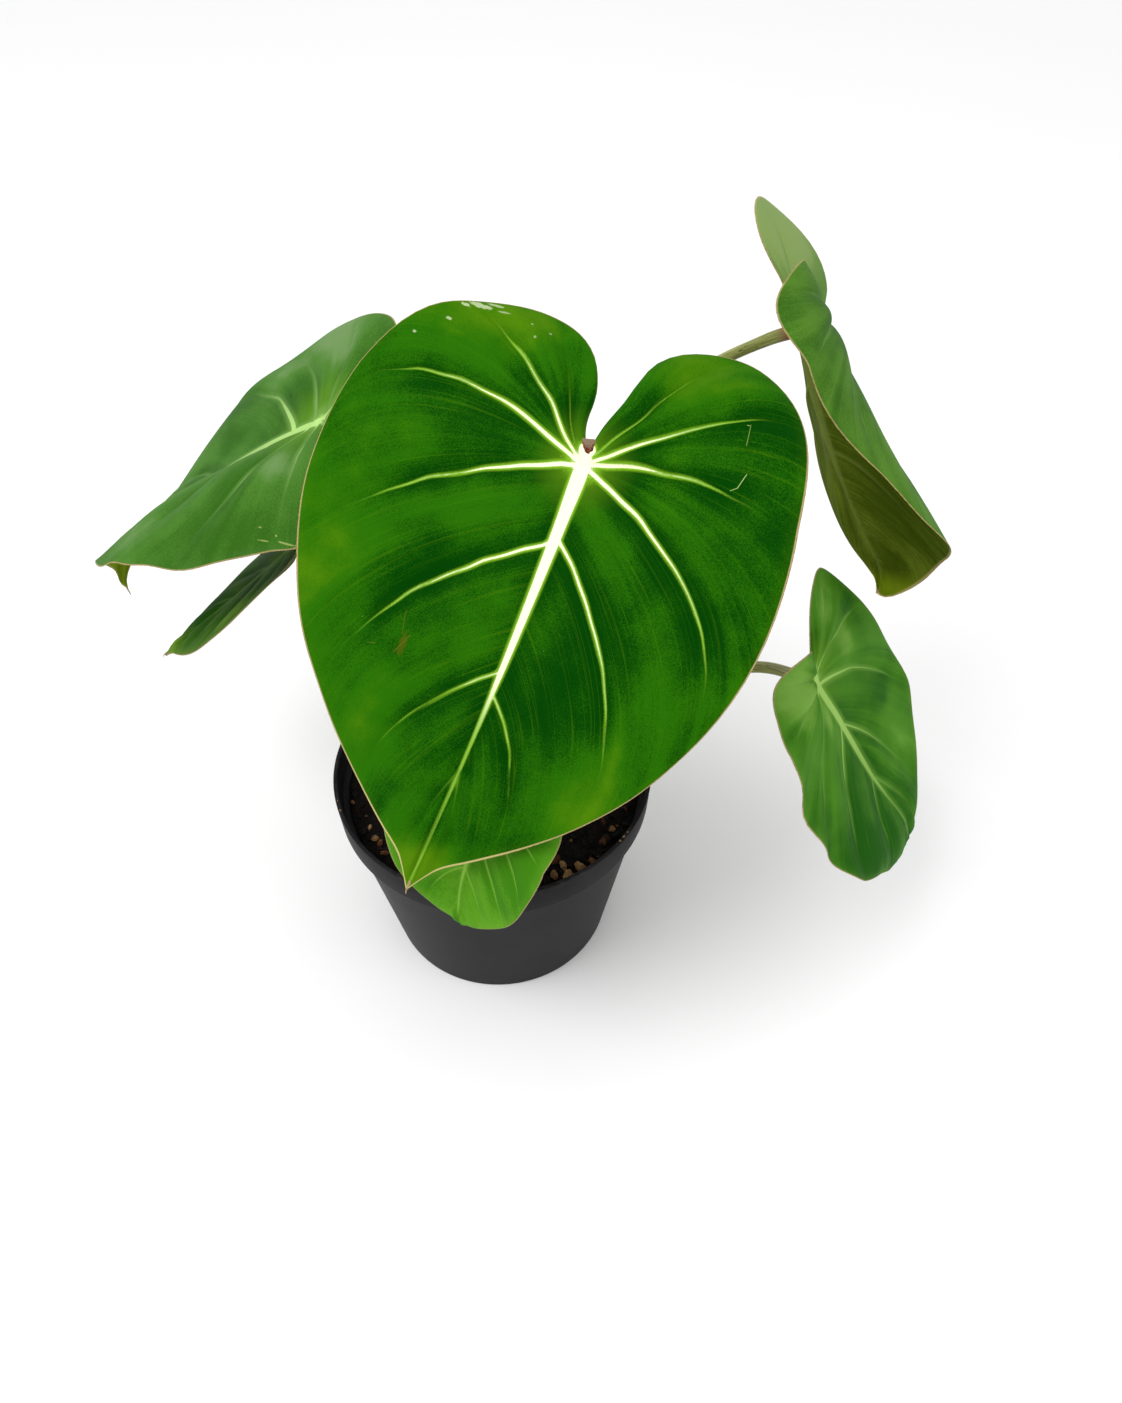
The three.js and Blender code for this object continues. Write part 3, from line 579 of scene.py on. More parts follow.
def pot_plastic():
    """Dark slate moulded plastic: satin, mottled, scuffed, with dust and dried splashes at the rim."""
    f = Finish("slate_plastic")
    place = f.position()
    height_mm = f.part(place, "Z") / MM
    mottle = f.noise(place, 45, 3, 0.55)
    fine = f.noise(place, 1400, 2, 0.6)
    scuff = f.noise(f.stretch(place, (300, 300, 1500)), 1.0, 3, 0.7)
    colour = f.mix(mottle.step(0.3, 0.7), (0.0115, 0.0108, 0.0122), (0.018, 0.0172, 0.019))
    at_rim = height_mm.step(92, 101.5)
    dust = f.noise(place, 190, 5, 0.7).step(0.52, 0.72)
    colour = f.mix(at_rim * dust * 0.25, colour, (0.12, 0.1, 0.08))
    colour = f.mix(scuff.step(0.66, 0.76) * 0.2, colour, (0.07, 0.07, 0.075))
    drop = f.cells(place, 60).step(0.06, 0.03) * f.noise(place, 12, 1).step(0.5, 0.6)
    colour = f.mix(drop * 0.5, colour, (0.09, 0.07, 0.05))
    rough = 0.4 + mottle * 0.12 + dust * 0.25 * at_rim
    return f.surface(Base_Color=colour, Roughness=rough, Specular_IOR_Level=0.035,
                     Normal=f.bump(fine * 0.3 + scuff * 0.3 + mottle, 0.0004, 0.35))


def studio_white():
    """Plain pale floor."""
    f = Finish("studio_white")
    place = f.position()
    cloud = f.noise(place, 1.3, 2, 0.5)
    return f.surface(Base_Color=f.mix(cloud, (0.87, 0.87, 0.87), (0.9, 0.9, 0.9)), Roughness=0.85,
                     Specular_IOR_Level=0.1)


# Colours and measures of each blade's materials. deep, mid and light are its greens, halo and vein the glow
# and the core of its veins, heart the radius of the star at the stalk. marks are worn spots: flat x and y,
# reach across and lengthwise, amount and colour. scratches run from one flat place to another, with a width
# and a colour.
MATURE = dict(
    deep=(0.0006, 0.042, 0.0004), mid=(0.017, 0.122, 0.001), light=(0.068, 0.185, 0.0018), threads=0.25,
    halo=(0.22, 0.46, 0.02), vein=(0.93, 0.94, 0.64), margin=(0.42, 0.32, 0.14),
    margin_dark=(0.2, 0.11, 0.035), speck=(0.4, 0.55, 0.15), seed=(3, 7, 1), grain=1.0,
    tone_range=(0.42, 0.74), lift=0.3, outer=0.12, outer_width=6, specks=0.7, fuzz=0.8, glow=0.85,
    glow_width=1.3, core=1.0, heart=6.5, vein_reach=150, far_veins=0.75, margin_strength=0.85, gloss=0.012,
    marks=[], scratches=[], under_deep=(0.018, 0.035, 0.0005), under=(0.05, 0.08, 0.001),
    # The underside's paler lobe colour also paints light shining through the lobes.
    under_lobe_pale_and_lit=(0.13, 0.2, 0.05), under_vein=(0.1, 0.14, 0.015), lit_lobes_to=10, lines=0.1, rib_shade=0.12,
    vein_thin=(0.24, 0.46, 0.05), margin_tip=(0.42, 0.32, 0.14), flush=(0.13, 0.3, 0.008), tip_from=500,
    tip_margin=0, tip_under=(0.13, 0.2, 0.005),
)
WORN = (0.62, 0.68, 0.42)
LOOKS = {
    "front": dict(
        MATURE, tip_from=150, tip_margin=0.5, margin_tip=(0.54, 0.46, 0.18), heart=3.4, grain=0.8,
        marks=[(54, -36.5, 5, 1.2, 0.55, WORN), (49, -38.5, 4, 0.7, 0.5, WORN),
               (58.5, -34.5, 2.2, 1.0, 0.6, WORN),
               (45, -36, 3, 0.5, 0.35, WORN), (61, -26, 1.1, 0.7, 0.5, WORN), (70, -17, 0.8, 0.6, 0.5, WORN),
               (34, -34, 0.7, 0.5, 0.4, WORN), (31, -29, 0.6, 0.6, 0.35, WORN),
               (27, -33, 0.6, 0.5, 0.3, WORN), (35.5, 84, 1.6, 5, 0.5, (0.09, 0.085, 0.004))],
        scratches=[((-46.5, -23), (-48.2, -16), 0.16, (0.2, 0.32, 0.07)),
                   ((-45.5, -22.6), (-46.2, -22.6), 0.2, (0.3, 0.42, 0.12)),
                   ((-47.1, -21.5), (-48.9, -16.5), 0.12, (0.004, 0.03, 0.001)),
                   ((-52, -8.5), (-50.8, -4.6), 0.2, (0.36, 0.5, 0.16)),
                   ((-50.8, -4.6), (-48.9, -3.4), 0.18, (0.26, 0.4, 0.1)),
                   ((-52.5, -8), (-51.4, -4.4), 0.12, (0.004, 0.03, 0.001)),
                   ((39, 73), (37, 81), 0.18, (0.09, 0.1, 0.008)),
                   ((34, 80), (37.5, 88), 0.25, (0.11, 0.095, 0.008)),
                   ((45, 88), (48, 89), 0.15, (0.1, 0.12, 0.01))]),
    "back_left": dict(
        # The light green of back_left is greyish: together with its pale places it paints the satin sheen on
        # this leaf.
        MATURE, deep=(0.022, 0.1, 0.003), mid=(0.056, 0.175, 0.016), light=(0.125, 0.235, 0.072),
        halo=(0.16, 0.32, 0.07), vein=(0.42, 0.66, 0.2), vein_thin=(0.11, 0.22, 0.07), seed=(11, 2, 5),
        glow=0.6, glow_width=2.6, core=0.8, heart=5, outer=0.1, specks=0.2, gloss=0.06, threads=0.1,
        margin_strength=0.6, vein_reach=60, far_veins=0.45, fuzz=0.9, lift=0.34, tone_range=(0.4, 0.76),
        rib_shade=0.05, under_deep=(0.06, 0.11, 0.002), under=(0.09, 0.16, 0.003), tip_from=112,
        tip_under=(0.17, 0.26, 0.008), margin_tip=(0.42, 0.36, 0.18),
        marks=[(-62, -8, 0.5, 5, 0.6, (0.36, 0.4, 0.12)), (-63, 3, 0.4, 3, 0.5, (0.36, 0.4, 0.12)),
               (-60, -3, 0.5, 0.6, 0.6, (0.36, 0.42, 0.12)), (-58, 4, 0.4, 0.8, 0.5, (0.36, 0.42, 0.12)),
               (24, 24, 0.9, 0.7, 0.8, (0.005, 0.02, 0.002)), (27, 21, 0.5, 0.5, 0.7, (0.005, 0.02, 0.002))],
        scratches=[((-69, 0), (-61, -16), 0.3, (0.34, 0.3, 0.12))]),
    "low_left": dict(
        MATURE, deep=(0.008, 0.06, 0.001), mid=(0.045, 0.13, 0.004), light=(0.13, 0.23, 0.02),
        halo=(0.12, 0.22, 0.03), vein=(0.16, 0.3, 0.05), vein_thin=(0.13, 0.22, 0.03), seed=(1, 12, 4),
        glow=0.4, core=0.4, heart=4.0, outer=0.3, specks=0.2, margin_strength=0.7, gloss=0.02, threads=0.2,
        margin=(0.24, 0.22, 0.08), under_deep=(0.05, 0.07, 0.003), under=(0.12, 0.15, 0.012)),
    "right_top": dict(
        MATURE, deep=(0.025, 0.1, 0.004), mid=(0.075, 0.195, 0.016), light=(0.2, 0.3, 0.085),
        halo=(0.11, 0.24, 0.04), vein=(0.2, 0.38, 0.08), vein_thin=(0.13, 0.26, 0.06), tip_from=105,
        seed=(5, 1, 9), glow=0.5, glow_width=2.2, core=0.5, heart=4.0, outer=0, specks=0.2, gloss=0.06,
        margin_strength=0.6, threads=0.15, lift=0.34, tip_under=(0.15, 0.22, 0.006),
        under_deep=(0.045, 0.072, 0.003), under=(0.105, 0.15, 0.012), under_vein=(0.17, 0.22, 0.05),
        under_lobe_pale_and_lit=(0.22, 0.31, 0.085), lit_lobes_to=0),
    "right_low": dict(
        MATURE, deep=(0.009, 0.08, 0.0015), mid=(0.058, 0.2, 0.01), light=(0.16, 0.33, 0.05), threads=0.15,
        halo=(0.15, 0.33, 0.045), vein=(0.34, 0.56, 0.13), vein_thin=(0.13, 0.28, 0.06), seed=(8, 8, 2),
        glow=0.6, glow_width=2.8, core=0.75, heart=3.5, outer=0.15, specks=0.2, gloss=0.035,
        margin_strength=0.45, vein_reach=80, far_veins=0.5, lift=0.34, tone_range=(0.38, 0.76),
        rib_shade=0.08),
    "pot_front": dict(
        MATURE, deep=(0.038, 0.175, 0.003), mid=(0.09, 0.28, 0.01), light=(0.14, 0.35, 0.026), threads=0.25,
        halo=(0.16, 0.38, 0.03), vein=(0.3, 0.55, 0.08), vein_thin=(0.2, 0.42, 0.06), seed=(2, 5, 13),
        glow=0.6, glow_width=1.2, core=0.6, heart=3.0, outer=0.3, specks=0.2, gloss=0.03,
        margin_strength=0.3),
}
# Paler places on each blade, in flat millimetres: middle x, y, reach across and lengthwise, and how pale.
# Darker ones have a value below 0. They are partly the leaf's own paler zones and partly painted light:
# painted highlights on the raised pillows between the veins, painted sheen, and painted shade below 0.
PALE_AND_PAINTED_LIGHT_PLACES = {
    "front": [(78, 62, 20, 60, 0.62), (46, -34, 32, 16, 0.85), (-26, -38, 24, 16, 0.8),
              (45, 115, 14, 24, 0.5), (-50, 108, 16, 18, 0.5), (30, 30, 14, 12, 0.2), (58, 17, 12, 8, 0.35),
              (-25, 52, 18, 26, -0.4), (-23, 82, 14, 16, -0.35), (-57, -20, 16, 14, -0.4),
              (-66, 14, 12, 20, -0.25), (0, 166, 15, 20, 1.3), (-40, 118, 16, 12, 0.4), (-34, 6, 10, 8, 0.5),
              (-52, 84, 10, 14, 0.35), (36, 6, 12, 5, -0.4), (40, 46, 14, 6, -0.4),
              (-29, -7, 12, 8, 0.4), (-37, 36, 8, 12, -0.35), (-66, 38, 10, 14, -0.25)],
    "back_left": [(54, 8, 18, 18, 1.0), (-33, 0, 10, 12, 0.9), (-40, 78, 14, 16, 0.7), (0, 120, 22, 22, 0.9),
                  (-64, 12, 12, 26, -0.5), (25, 22, 12, 10, -0.8), (44, 36, 12, 14, 0.7),
                  (40, 66, 10, 12, -0.7), (16, 60, 9, 14, -0.6), (-14, 40, 9, 26, 0.4), (20, 96, 14, 14, 0.4),
                  (37, -4, 12, 10, 0.7)],
    "low_left": [(-30, 30, 10, 30, 0.6), (34, 50, 8, 24, 0.7), (0, 80, 14, 10, 0.8)],
    # On right_top the first place paints the far lobe pale, as lit through from behind.
    "right_top": [(-36, -28, 40, 24, 1.5), (-28, 30, 8, 30, 0.5), (20, 0, 14, 14, -0.4)],
    "right_low": [(-21, -23, 15, 13, 0.75), (-27, 1, 12, 9, 0.8), (28, -14, 18, 15, 1.0),
                  (10, 14, 9, 14, 0.8), (-29, 63, 14, 12, 0.5), (31, 74, 20, 18, -0.9),
                  (13, 54, 14, 13, -0.4), (-46, 18, 10, 12, 0.3), (-42, -2, 9, 7, -0.5),
                  (-30, 32, 13, 9, -0.5), (-33, 44, 10, 5, 0.5), (34, 16, 12, 20, 0.4)],
    "pot_front": [(10, 30, 16, 20, 0.4), (-14, 50, 10, 12, 0.3), (-28, 8, 12, 22, -0.7),
                  (14, 50, 8, 9, -0.7)],
}


# Leaf blades

HALF_CURVE = curve_points(HALF_OUTLINE, closed_ends=True)


def vein_table(leaf, half):
    """Each side vein's start, share of the margin, bow, lean, two half widths, reach and brightness."""
    if "veins" in leaf:
        return np.array(leaf["veins"][half], float)
    rows = []
    for share, *rest in SIDE_VEINS:
        start = max(0, (share - MIDRIB_START) / (1 - MIDRIB_START)) ** MIDRIB_CROWDING
        past_peak = max(0, (share - BOW_PEAK) / (1 - BOW_PEAK))
        bow = VEIN_BOW * float(smooth(0.1, BOW_PEAK, share)) * (1 - 0.8 * past_peak)
        rows.append((start, share, bow, 0, *rest))
    return np.array(rows, float)


def flat_point(leaf, half, share, row):
    """Point of the flat blade, for a blade of length 1."""
    margin = along(HALF_CURVE, share)
    narrowing = 1 - leaf["taper"][half] * smooth(*TAPER_RANGE, margin[..., 1])
    x1 = margin[..., 0] * leaf["width"][half] * narrowing
    y1 = np.where(margin[..., 1] < 0, margin[..., 1] * leaf["lobe"][half], margin[..., 1])
    stops = np.vstack([(0, FIRST_SHARE, 0, 0), vein_table(leaf, half)[:, :4], (1, 1, 0.04, 0)])
    y0, bow, lean = (np.interp(share, stops[:, 1], stops[:, k]) for k in (0, 2, 3))
    dx, dy = x1, y1 - y0
    cx, cy = (0.5 + lean) * dx + bow * dy, y0 + (0.5 + lean) * dy - bow * dx
    back, middle, front = (1 - row) ** 2, 2 * row * (1 - row), row ** 2
    return middle * cx + front * x1, back * y0 + middle * cy + front * y1


def midrib_angle(leaf, half, t):
    """How far the midrib has turned down at a share of its length, or the lobes at a share below 0."""
    before = math.radians(leaf["lobe_bend"][half]) * t / LOBE_DEPTH
    after = math.radians(leaf["droop"]) * t + math.radians(leaf["hook"]) * smooth(leaf["hook_from"], 1.02, t)
    return np.where(t < 0, before, after)


def bend(leaf, half, x, y, height):
    """Bends flat points, with a height above the middle surface, into the leaf's own frame."""
    length = leaf["length"]
    fold = math.radians(leaf["fold"][half])
    lobe_curl = math.radians(leaf["lobe_curl"][half]) * smooth(0, LOBE_DEPTH, -y)
    curl = math.radians(leaf["curl"][half]) + lobe_curl
    reach = x / HALF_WIDTH

    def side_angle(q):
        return fold * (1 - np.exp(-q / FOLD_REACH)) + curl * q

    across = up = forward = down = 0
    for k in range(BEND_STEPS):
        share = (k + 0.5) / BEND_STEPS
        across = across + np.cos(side_angle(reach * share)) * x * length / BEND_STEPS
        up = up + np.sin(side_angle(reach * share)) * x * length / BEND_STEPS
        forward = forward + np.cos(midrib_angle(leaf, half, y * share)) * y * length / BEND_STEPS
        down = down + np.sin(midrib_angle(leaf, half, y * share)) * y * length / BEND_STEPS
    across = across - np.sin(side_angle(reach)) * height
    up = up + np.cos(side_angle(reach)) * height
    if half == 1:
        across = -across
    twist = math.radians(leaf["twist"]) * y
    turned = across * np.cos(twist) - up * np.sin(twist)
    lifted = across * np.sin(twist) + up * np.cos(twist)
    angle = midrib_angle(leaf, half, y)
    sway = length * math.radians(leaf["sway"]) * np.maximum(y, 0) ** 2 / 2
    return np.stack([turned + sway, forward + lifted * np.sin(angle), lifted * np.cos(angle) - down], -1)


def leaf_axes(leaf):
    """The leaf's own frame: across it, towards its tip, and up from its upper side."""
    heading, pitch, roll = (math.radians(leaf[key]) for key in ("heading", "pitch", "roll"))
    along_x, along_y = math.cos(heading), math.sin(heading)
    tip = np.array([along_x * math.cos(pitch), along_y * math.cos(pitch), -math.sin(pitch)])
    level = np.array([along_x * math.sin(pitch), along_y * math.sin(pitch), math.cos(pitch)])
    side = np.cross(tip, level)
    across = math.cos(roll) * side + math.sin(roll) * level
    normal = math.cos(roll) * level - math.sin(roll) * side
    return across, tip, normal


def to_world(leaf, local):
    """Points of the leaf's own frame in the shared frame."""
    across, tip, normal = leaf_axes(leaf)
    return np.array(leaf["at"]) + local[..., :1] * across + local[..., 1:2] * tip + local[..., 2:] * normal


def placed(leaf, half, x, y, local):
    """Bent points in the shared frame, with the small local shifts of this blade."""
    world = to_world(leaf, local)
    for px, py, reach, shift in leaf.get("nudges", ()):
        same_side = (y >= 0) | ((px < 0) == (half == 1)) | (px == 0)
        pull = np.exp(-((x - px) ** 2 + (y - py) ** 2) / reach ** 2) * same_side
        world = world + pull[..., None] * shift
    return world


def columns(leaf, half):
    """Shares of the margin, closer together near each side vein, and the place between two veins (0 to 1)."""
    tables = [vein_table(leaf, h) for h in (0, 1)]
    stops = [[FIRST_SHARE, *table[:, 1], LAST_SHARE] for table in tables]
    shares = []
    for k in range(len(stops[0]) - 1):
        widest = max(line[k + 1] - line[k] for line in stops)
        count = int(np.clip(COLUMNS_PER_SHARE * widest, FEWEST_COLUMNS, MOST_COLUMNS))
        s = (1 - np.cos(np.pi * np.arange(count) / count)) / 2
        shares.extend(stops[half][k] + (stops[half][k + 1] - stops[half][k]) * s)
    shares = np.array(shares + [LAST_SHARE, 0.996, 1.0])
    marks = [FIRST_SHARE, *(row[1] for row in tables[half] if row[7] > 0), LAST_SHARE]
    return shares, np.interp(shares, marks, np.arange(len(marks))) % 1


def distance_to_line(px, py, line, widths):
    """Least distance from points to a line, less its half width there, and how far along it that is."""
    best = np.full(px.shape, 1e9)
    place = np.zeros(px.shape)
    for k in range(len(line) - 1):
        ax, ay = line[k]
        bx, by = line[k + 1]
        dx, dy = bx - ax, by - ay
        t = np.clip(((px - ax) * dx + (py - ay) * dy) / max(dx * dx + dy * dy, 1e-9), 0, 1)
        gap = np.hypot(px - ax - t * dx, py - ay - t * dy) - (widths[k] + (widths[k + 1] - widths[k]) * t)
        closer = gap < best
        best = np.where(closer, gap, best)
        place = np.where(closer, (k + t) / (len(line) - 1), place)
    return best, place


def rib_fields(leaf, half, x, y):
    """For flat points in mm: distance outside the nearest vein, and how bright that vein is there."""
    scale = leaf["length"] / FULL_LENGTH
    layer = 3 + 5 * half
    places = [Vector((a * WANDER_SCALE, b * WANDER_SCALE, layer)) for a, b in zip(x.ravel(), y.ravel())]
    wander = np.array([noise.noise_vector(place)[:2] for place in places]).reshape(*x.shape, 2)
    wander = wander * (WANDER * scale * smooth(1.5, 9, x))[..., None]
    x, y = x + wander[..., 0], y + wander[..., 1]
    t = np.linspace(0, 1.01, 60)
    widths = np.interp(t, *np.array(leaf.get("midrib", MIDRIB_WIDTHS)).T) * scale
    line = np.stack([0 * t, t * leaf["length"]], -1)
    rib, place = distance_to_line(x, y, line, widths)
    fade = leaf.get("fade", 0.5)
    bright = 1 - 0.8 * fade * smooth(0.4, 0.65, place)
    for _, share, _, _, start, middle, reach, strength in vein_table(leaf, half):
        if not strength:
            continue
        row = np.linspace(0, 1, 50)
        fx, fy = flat_point(leaf, half, np.full(row.shape, share), row)
        line = np.stack([fx, fy], -1) * leaf["length"]
        widths = (middle + (start - middle) * (1 - smooth(0, 0.45, row))) * (1 - 0.6 * smooth(0.5, 1, row))
        gap, place = distance_to_line(x, y, line, widths * scale)
        ending = 1 - smooth(reach - 0.4, reach + 0.05, place)
        shine = strength * (1 - fade * smooth(0.15, 0.8, place)) * ending
        closer = gap < rib
        rib = np.where(closer, gap, rib)
        bright = np.where(closer, shine, bright)
    return rib, bright


def edge_distance(leaf, half, share, row):
    """Distance to the margin in mm, measured along the line of constant share."""
    rows = row if row.ndim else row[None]
    x0, y0 = flat_point(leaf, half, share, rows)
    x1, y1 = flat_point(leaf, half, share, np.ones_like(rows))
    return np.hypot(x1 - x0, y1 - y0) * leaf["length"]


def paleness_and_painted_light(places, x, y):
    """How much paler the blade is at flat points in mm: its own paler zones, painted highlights and sheen,
    and painted shade below 0.
    """
    total = np.zeros(np.shape(x))
    for px, py, across, lengthwise, amount in places:
        total = total + amount * np.exp(-((x - px) / across) ** 2 - ((y - py) / lengthwise) ** 2)
    return total


def half_grid(leaf, half):
    """Flat points of half a blade, from the midrib past the margin, with their veins and edge distance."""
    shares, between = columns(leaf, half)
    rows = np.linspace(0, 1, ROWS) ** ROW_CROWDING
    share, row = np.meshgrid(shares, np.r_[rows, RIM_ROW], indexing="ij")
    fx, fy = flat_point(leaf, half, share, row)
    x, y = fx * leaf["length"], fy * leaf["length"]
    rib, bright = rib_fields(leaf, half, x, y)
    edge = edge_distance(leaf, half, share, row)
    gap = np.broadcast_to(between[:, None], share.shape)
    return SimpleNamespace(share=share, row=row, gap=gap, fx=fx, fy=fy, x=x, y=y, rib=rib, bright=bright,
                           edge=edge, sign=1 - 2 * half)


def blade_relief(leaf, half, grid, seed):
    """Heights in mm of the upper side, the middle and the lower side of half a blade."""
    swell = np.sin(np.pi * np.clip(grid.row, 0, 1)) * smooth(0, 0.2, grid.share)
    puff = PUFF * leaf["length"] * np.sin(np.pi * grid.gap) ** 0.8 * swell
    places = zip((grid.x * grid.sign).ravel(), grid.y.ravel())
    rolling = [noise.noise(Vector((a * ROLLING_SCALE, b * ROLLING_SCALE, seed))) for a, b in places]
    rolling = np.array(rolling).reshape(grid.x.shape) * ROLLING * smooth(0, 0.3, grid.row)
    wavy = leaf.get("wave", (0, 0))[half]
    if wavy:
        ripple = wavy * np.sin(leaf["wave_turns"] * np.pi * grid.share) * grid.row ** 4
        rolling = rolling + ripple * smooth(0.2, 0.4, grid.share) * (1 - smooth(0.7, 0.82, grid.share))
    middle = puff + rolling
    raised = np.exp(-(np.maximum(grid.rib + 0.3, 0) / VEIN_REACH) ** 2) * grid.bright
    thinner = 1 - 0.8 * np.clip(grid.y / leaf["length"], 0, 1)
    at_midrib = np.exp(-(grid.x / MIDRIB_REACH) ** 2) * (grid.y > -2)
    thickness = THICKNESS - MARGIN_THINNING * smooth(0.9, 1, grid.row)
    upper = middle + thickness / 2 - VEIN_GROOVE * raised * np.clip(1 - at_midrib, 0, 1)
    lower = middle - thickness / 2 - VEIN_RIDGE * raised - MIDRIB_RIDGE * at_midrib * thinner
    return upper, middle, lower


def blade_sheets(leaf):
    """Points and fields of a blade: an upper sheet, a lower one and a rim for each half, and their starts."""
    seed = sum(map(ord, leaf["name"]))
    inner, rim, margin = np.s_[:, :ROWS], np.s_[:, ROWS:], np.s_[:, ROWS - 1:ROWS]
    points, first = [], {}
    fields = {name: [] for name in ("strip", "flat", "rib", "rib_bright", "edge", "stalk", "pale")}
    for half in (0, 1):
        grid = half_grid(leaf, half)
        upper, middle, lower = blade_relief(leaf, half, grid, seed)
        x = grid.x * grid.sign
        values = dict(
            strip=np.stack([grid.share * 30 + half * 40 + seed, grid.row * 1.1, 0 * grid.share + seed], -1),
            flat=np.stack([x, grid.y, 0 * grid.x + seed], -1), rib=grid.rib, rib_bright=grid.bright,
            edge=grid.edge * (grid.row <= 1), stalk=np.hypot(x, grid.y - leaf.get("heart_ahead", 0)),
            # pale holds the paler places together with their painted highlights, sheen and shade.
            pale=paleness_and_painted_light(PALE_AND_PAINTED_LIGHT_PLACES[leaf["name"]], x, grid.y))
        for side, part, height in (("upper", inner, upper[inner]), ("lower", inner, lower[inner]),
                                   ("rim", rim, middle[margin])):
            local = bend(leaf, half, grid.fx[part], grid.fy[part], height)
            first[side, half] = len(points)
            points.extend(placed(leaf, half, x[part], grid.y[part], local).reshape(-1, 3))
            for name, value in values.items():
                fields[name].extend(value[part].reshape(-1, *value.shape[2:]))
    return np.array(points), {name: np.array(value) for name, value in fields.items()}, first


def blade_faces(first, count):
    """Faces of a blade of count columns, and the material slot of each: upper side, lower side or margin."""
    faces, slots = [], []

    def face(flip, slot, *corners):
        faces.append(corners[::-1] if flip else corners)
        slots.append(slot)

    for half in (0, 1):
        mirrored = half == 1
        for side, slot in (("upper", 0), ("lower", 1)):
            flip = (side == "upper") == mirrored
            for i in range(count - 1):
                for j in range(ROWS - 1):
                    a = first[side, half] + i * ROWS + j
                    face(flip, slot, a, a + 1, a + ROWS + 1, a + ROWS)
        top, bottom, rim = (first[name, half] for name in ("upper", "lower", "rim"))
        for i in range(count - 1):
            u, p = top + (i + 1) * ROWS - 1, bottom + (i + 1) * ROWS - 1
            face(mirrored, 2, u, rim + i, rim + i + 1, u + ROWS)
            face(mirrored, 2, rim + i, p, p + ROWS, rim + i + 1)
        for j in range(ROWS - 1):
            face(mirrored, 2, top + j + 1, top + j, bottom + j, bottom + j + 1)
        face(mirrored, 2, top + ROWS - 1, bottom + ROWS - 1, rim)
    return faces, slots


def blade(leaf, materials):
    """One closed leaf blade with its veins in relief."""
    points, fields, first = blade_sheets(leaf)
    faces, slots = blade_faces(first, len(columns(leaf, 0)[0]))
    points, faces, fields, slots = weld(points, faces, fields, slots)
    piece = build("leaf_" + leaf["name"], points, faces, materials, fields, slots)
    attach(piece, "root")
    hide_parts("blade_" + leaf["name"])
    "young_leaf" if leaf["name"] == "pot_front" else "leaf_blade"


# Round pieces

def ring_faces(rings, sides, start=0):
    """Faces of a closed tube of rings, with a cap at both ends."""
    faces = []
    for i in range(rings - 1):
        for k in range(sides):
            a, b = start + i * sides + k, start + i * sides + (k + 1) % sides
            faces.append((a, b, b + sides, a + sides))
    last = start + (rings - 1) * sides
    return faces + [tuple(range(start, start + sides))[::-1], tuple(range(last, last + sides))]


def sheet_faces(down, across):
    """Faces of a thin sheet with two sides, each a grid of down by across points, closed along its edge."""
    faces = []
    size = down * across
    for i in range(down - 1):
        for j in range(across - 1):
            a = i * across + j
            faces.append((a, a + across, a + across + 1, a + 1))
            faces.append((size + a, size + a + 1, size + a + across + 1, size + a + across))
    loop = list(range(across)) + [i * across + across - 1 for i in range(1, down)]
    loop += [(down - 1) * across + j for j in range(across - 2, -1, -1)]
    loop += [i * across for i in range(down - 2, 0, -1)]
    for a, b in zip(loop, loop[1:] + loop[:1]):
        faces.append((a, b, size + b, size + a))
    return faces


def tube(dense, shares, sides, radius_at):
    """Points, faces and running coordinates of a closed tube along a dense curve."""
    centres = along(dense, shares)
    ahead = np.gradient(centres, axis=0)
    ahead /= np.linalg.norm(ahead, axis=1)[:, None]
    normal = np.cross(ahead[0], (0.3, 1, 0.1))
    normal /= np.linalg.norm(normal)
    lengths = np.r_[0, np.cumsum(np.linalg.norm(np.diff(centres, axis=0), axis=1))]
    points, run = [], []
    for i, centre in enumerate(centres):
        normal = normal - ahead[i] * np.dot(normal, ahead[i])
        normal /= np.linalg.norm(normal)
        other = np.cross(ahead[i], normal)
        for j in range(sides):
            angle = 2 * math.pi * j / sides
            radius = radius_at(shares[i], angle)
            points.append(centre + radius * (math.cos(angle) * normal + math.sin(angle) * other))
            run.append((math.cos(angle) * 3, lengths[i], math.sin(angle) * 3))
    fields = {"run": np.array(run), "share": np.repeat(shares, sides)}
    return np.array(points), ring_faces(len(shares), sides), fields


RHIZOME_CURVE = curve_points([(x, y, RHIZOME["height"]) for x, y in RHIZOME["route"]], closed_ends=False)


def rhizome_radius(share):
    """Its radius along its length: rounded at the old end, thinner towards the growing one."""
    from_end = max(0, RHIZOME["round_end"] - share) / RHIZOME["round_end"]
    taper = float(smooth(RHIZOME["taper_from"], 1, share))
    radius = RHIZOME["radius"] + (RHIZOME["tip_radius"] - RHIZOME["radius"]) * taper
    return math.sqrt(1 - 0.75 * from_end ** 2) * radius


def drip_tip(leaf, skin):
    """The thin brown point at the end of a blade, bent a little down."""
    ends = [placed(leaf, 0, np.array(0.0), np.array(y * leaf["length"]),
                   bend(leaf, 0, np.array(0.0), np.array(y), np.array(0.0))) for y in (0.985, 1.006)]
    ahead = (ends[1] - ends[0]) / np.linalg.norm(ends[1] - ends[0])
    usual = (4.0 * leaf["length"] / FULL_LENGTH, 0.75 * leaf["length"] / FULL_LENGTH)
    size, thickness = leaf.get("drip", usual)
    bow = np.array([0.12, 0.0, -0.3]) * size
    beyond = [ends[1] + ahead * size * 0.5 + bow * 0.2, ends[1] + ahead * size + bow]
    dense = curve_points(ends + beyond, closed_ends=False)
    points, faces, fields = tube(dense, np.linspace(0, 1, 14), 10, lambda s, a: (1 - 0.7 * s) * thickness)
    piece = build("drip_tip_" + leaf["name"], points, faces, [skin], {"flat": fields["run"]})
    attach(piece, "root")
    "young_leaf" if leaf["name"] == "pot_front" else "leaf_blade"


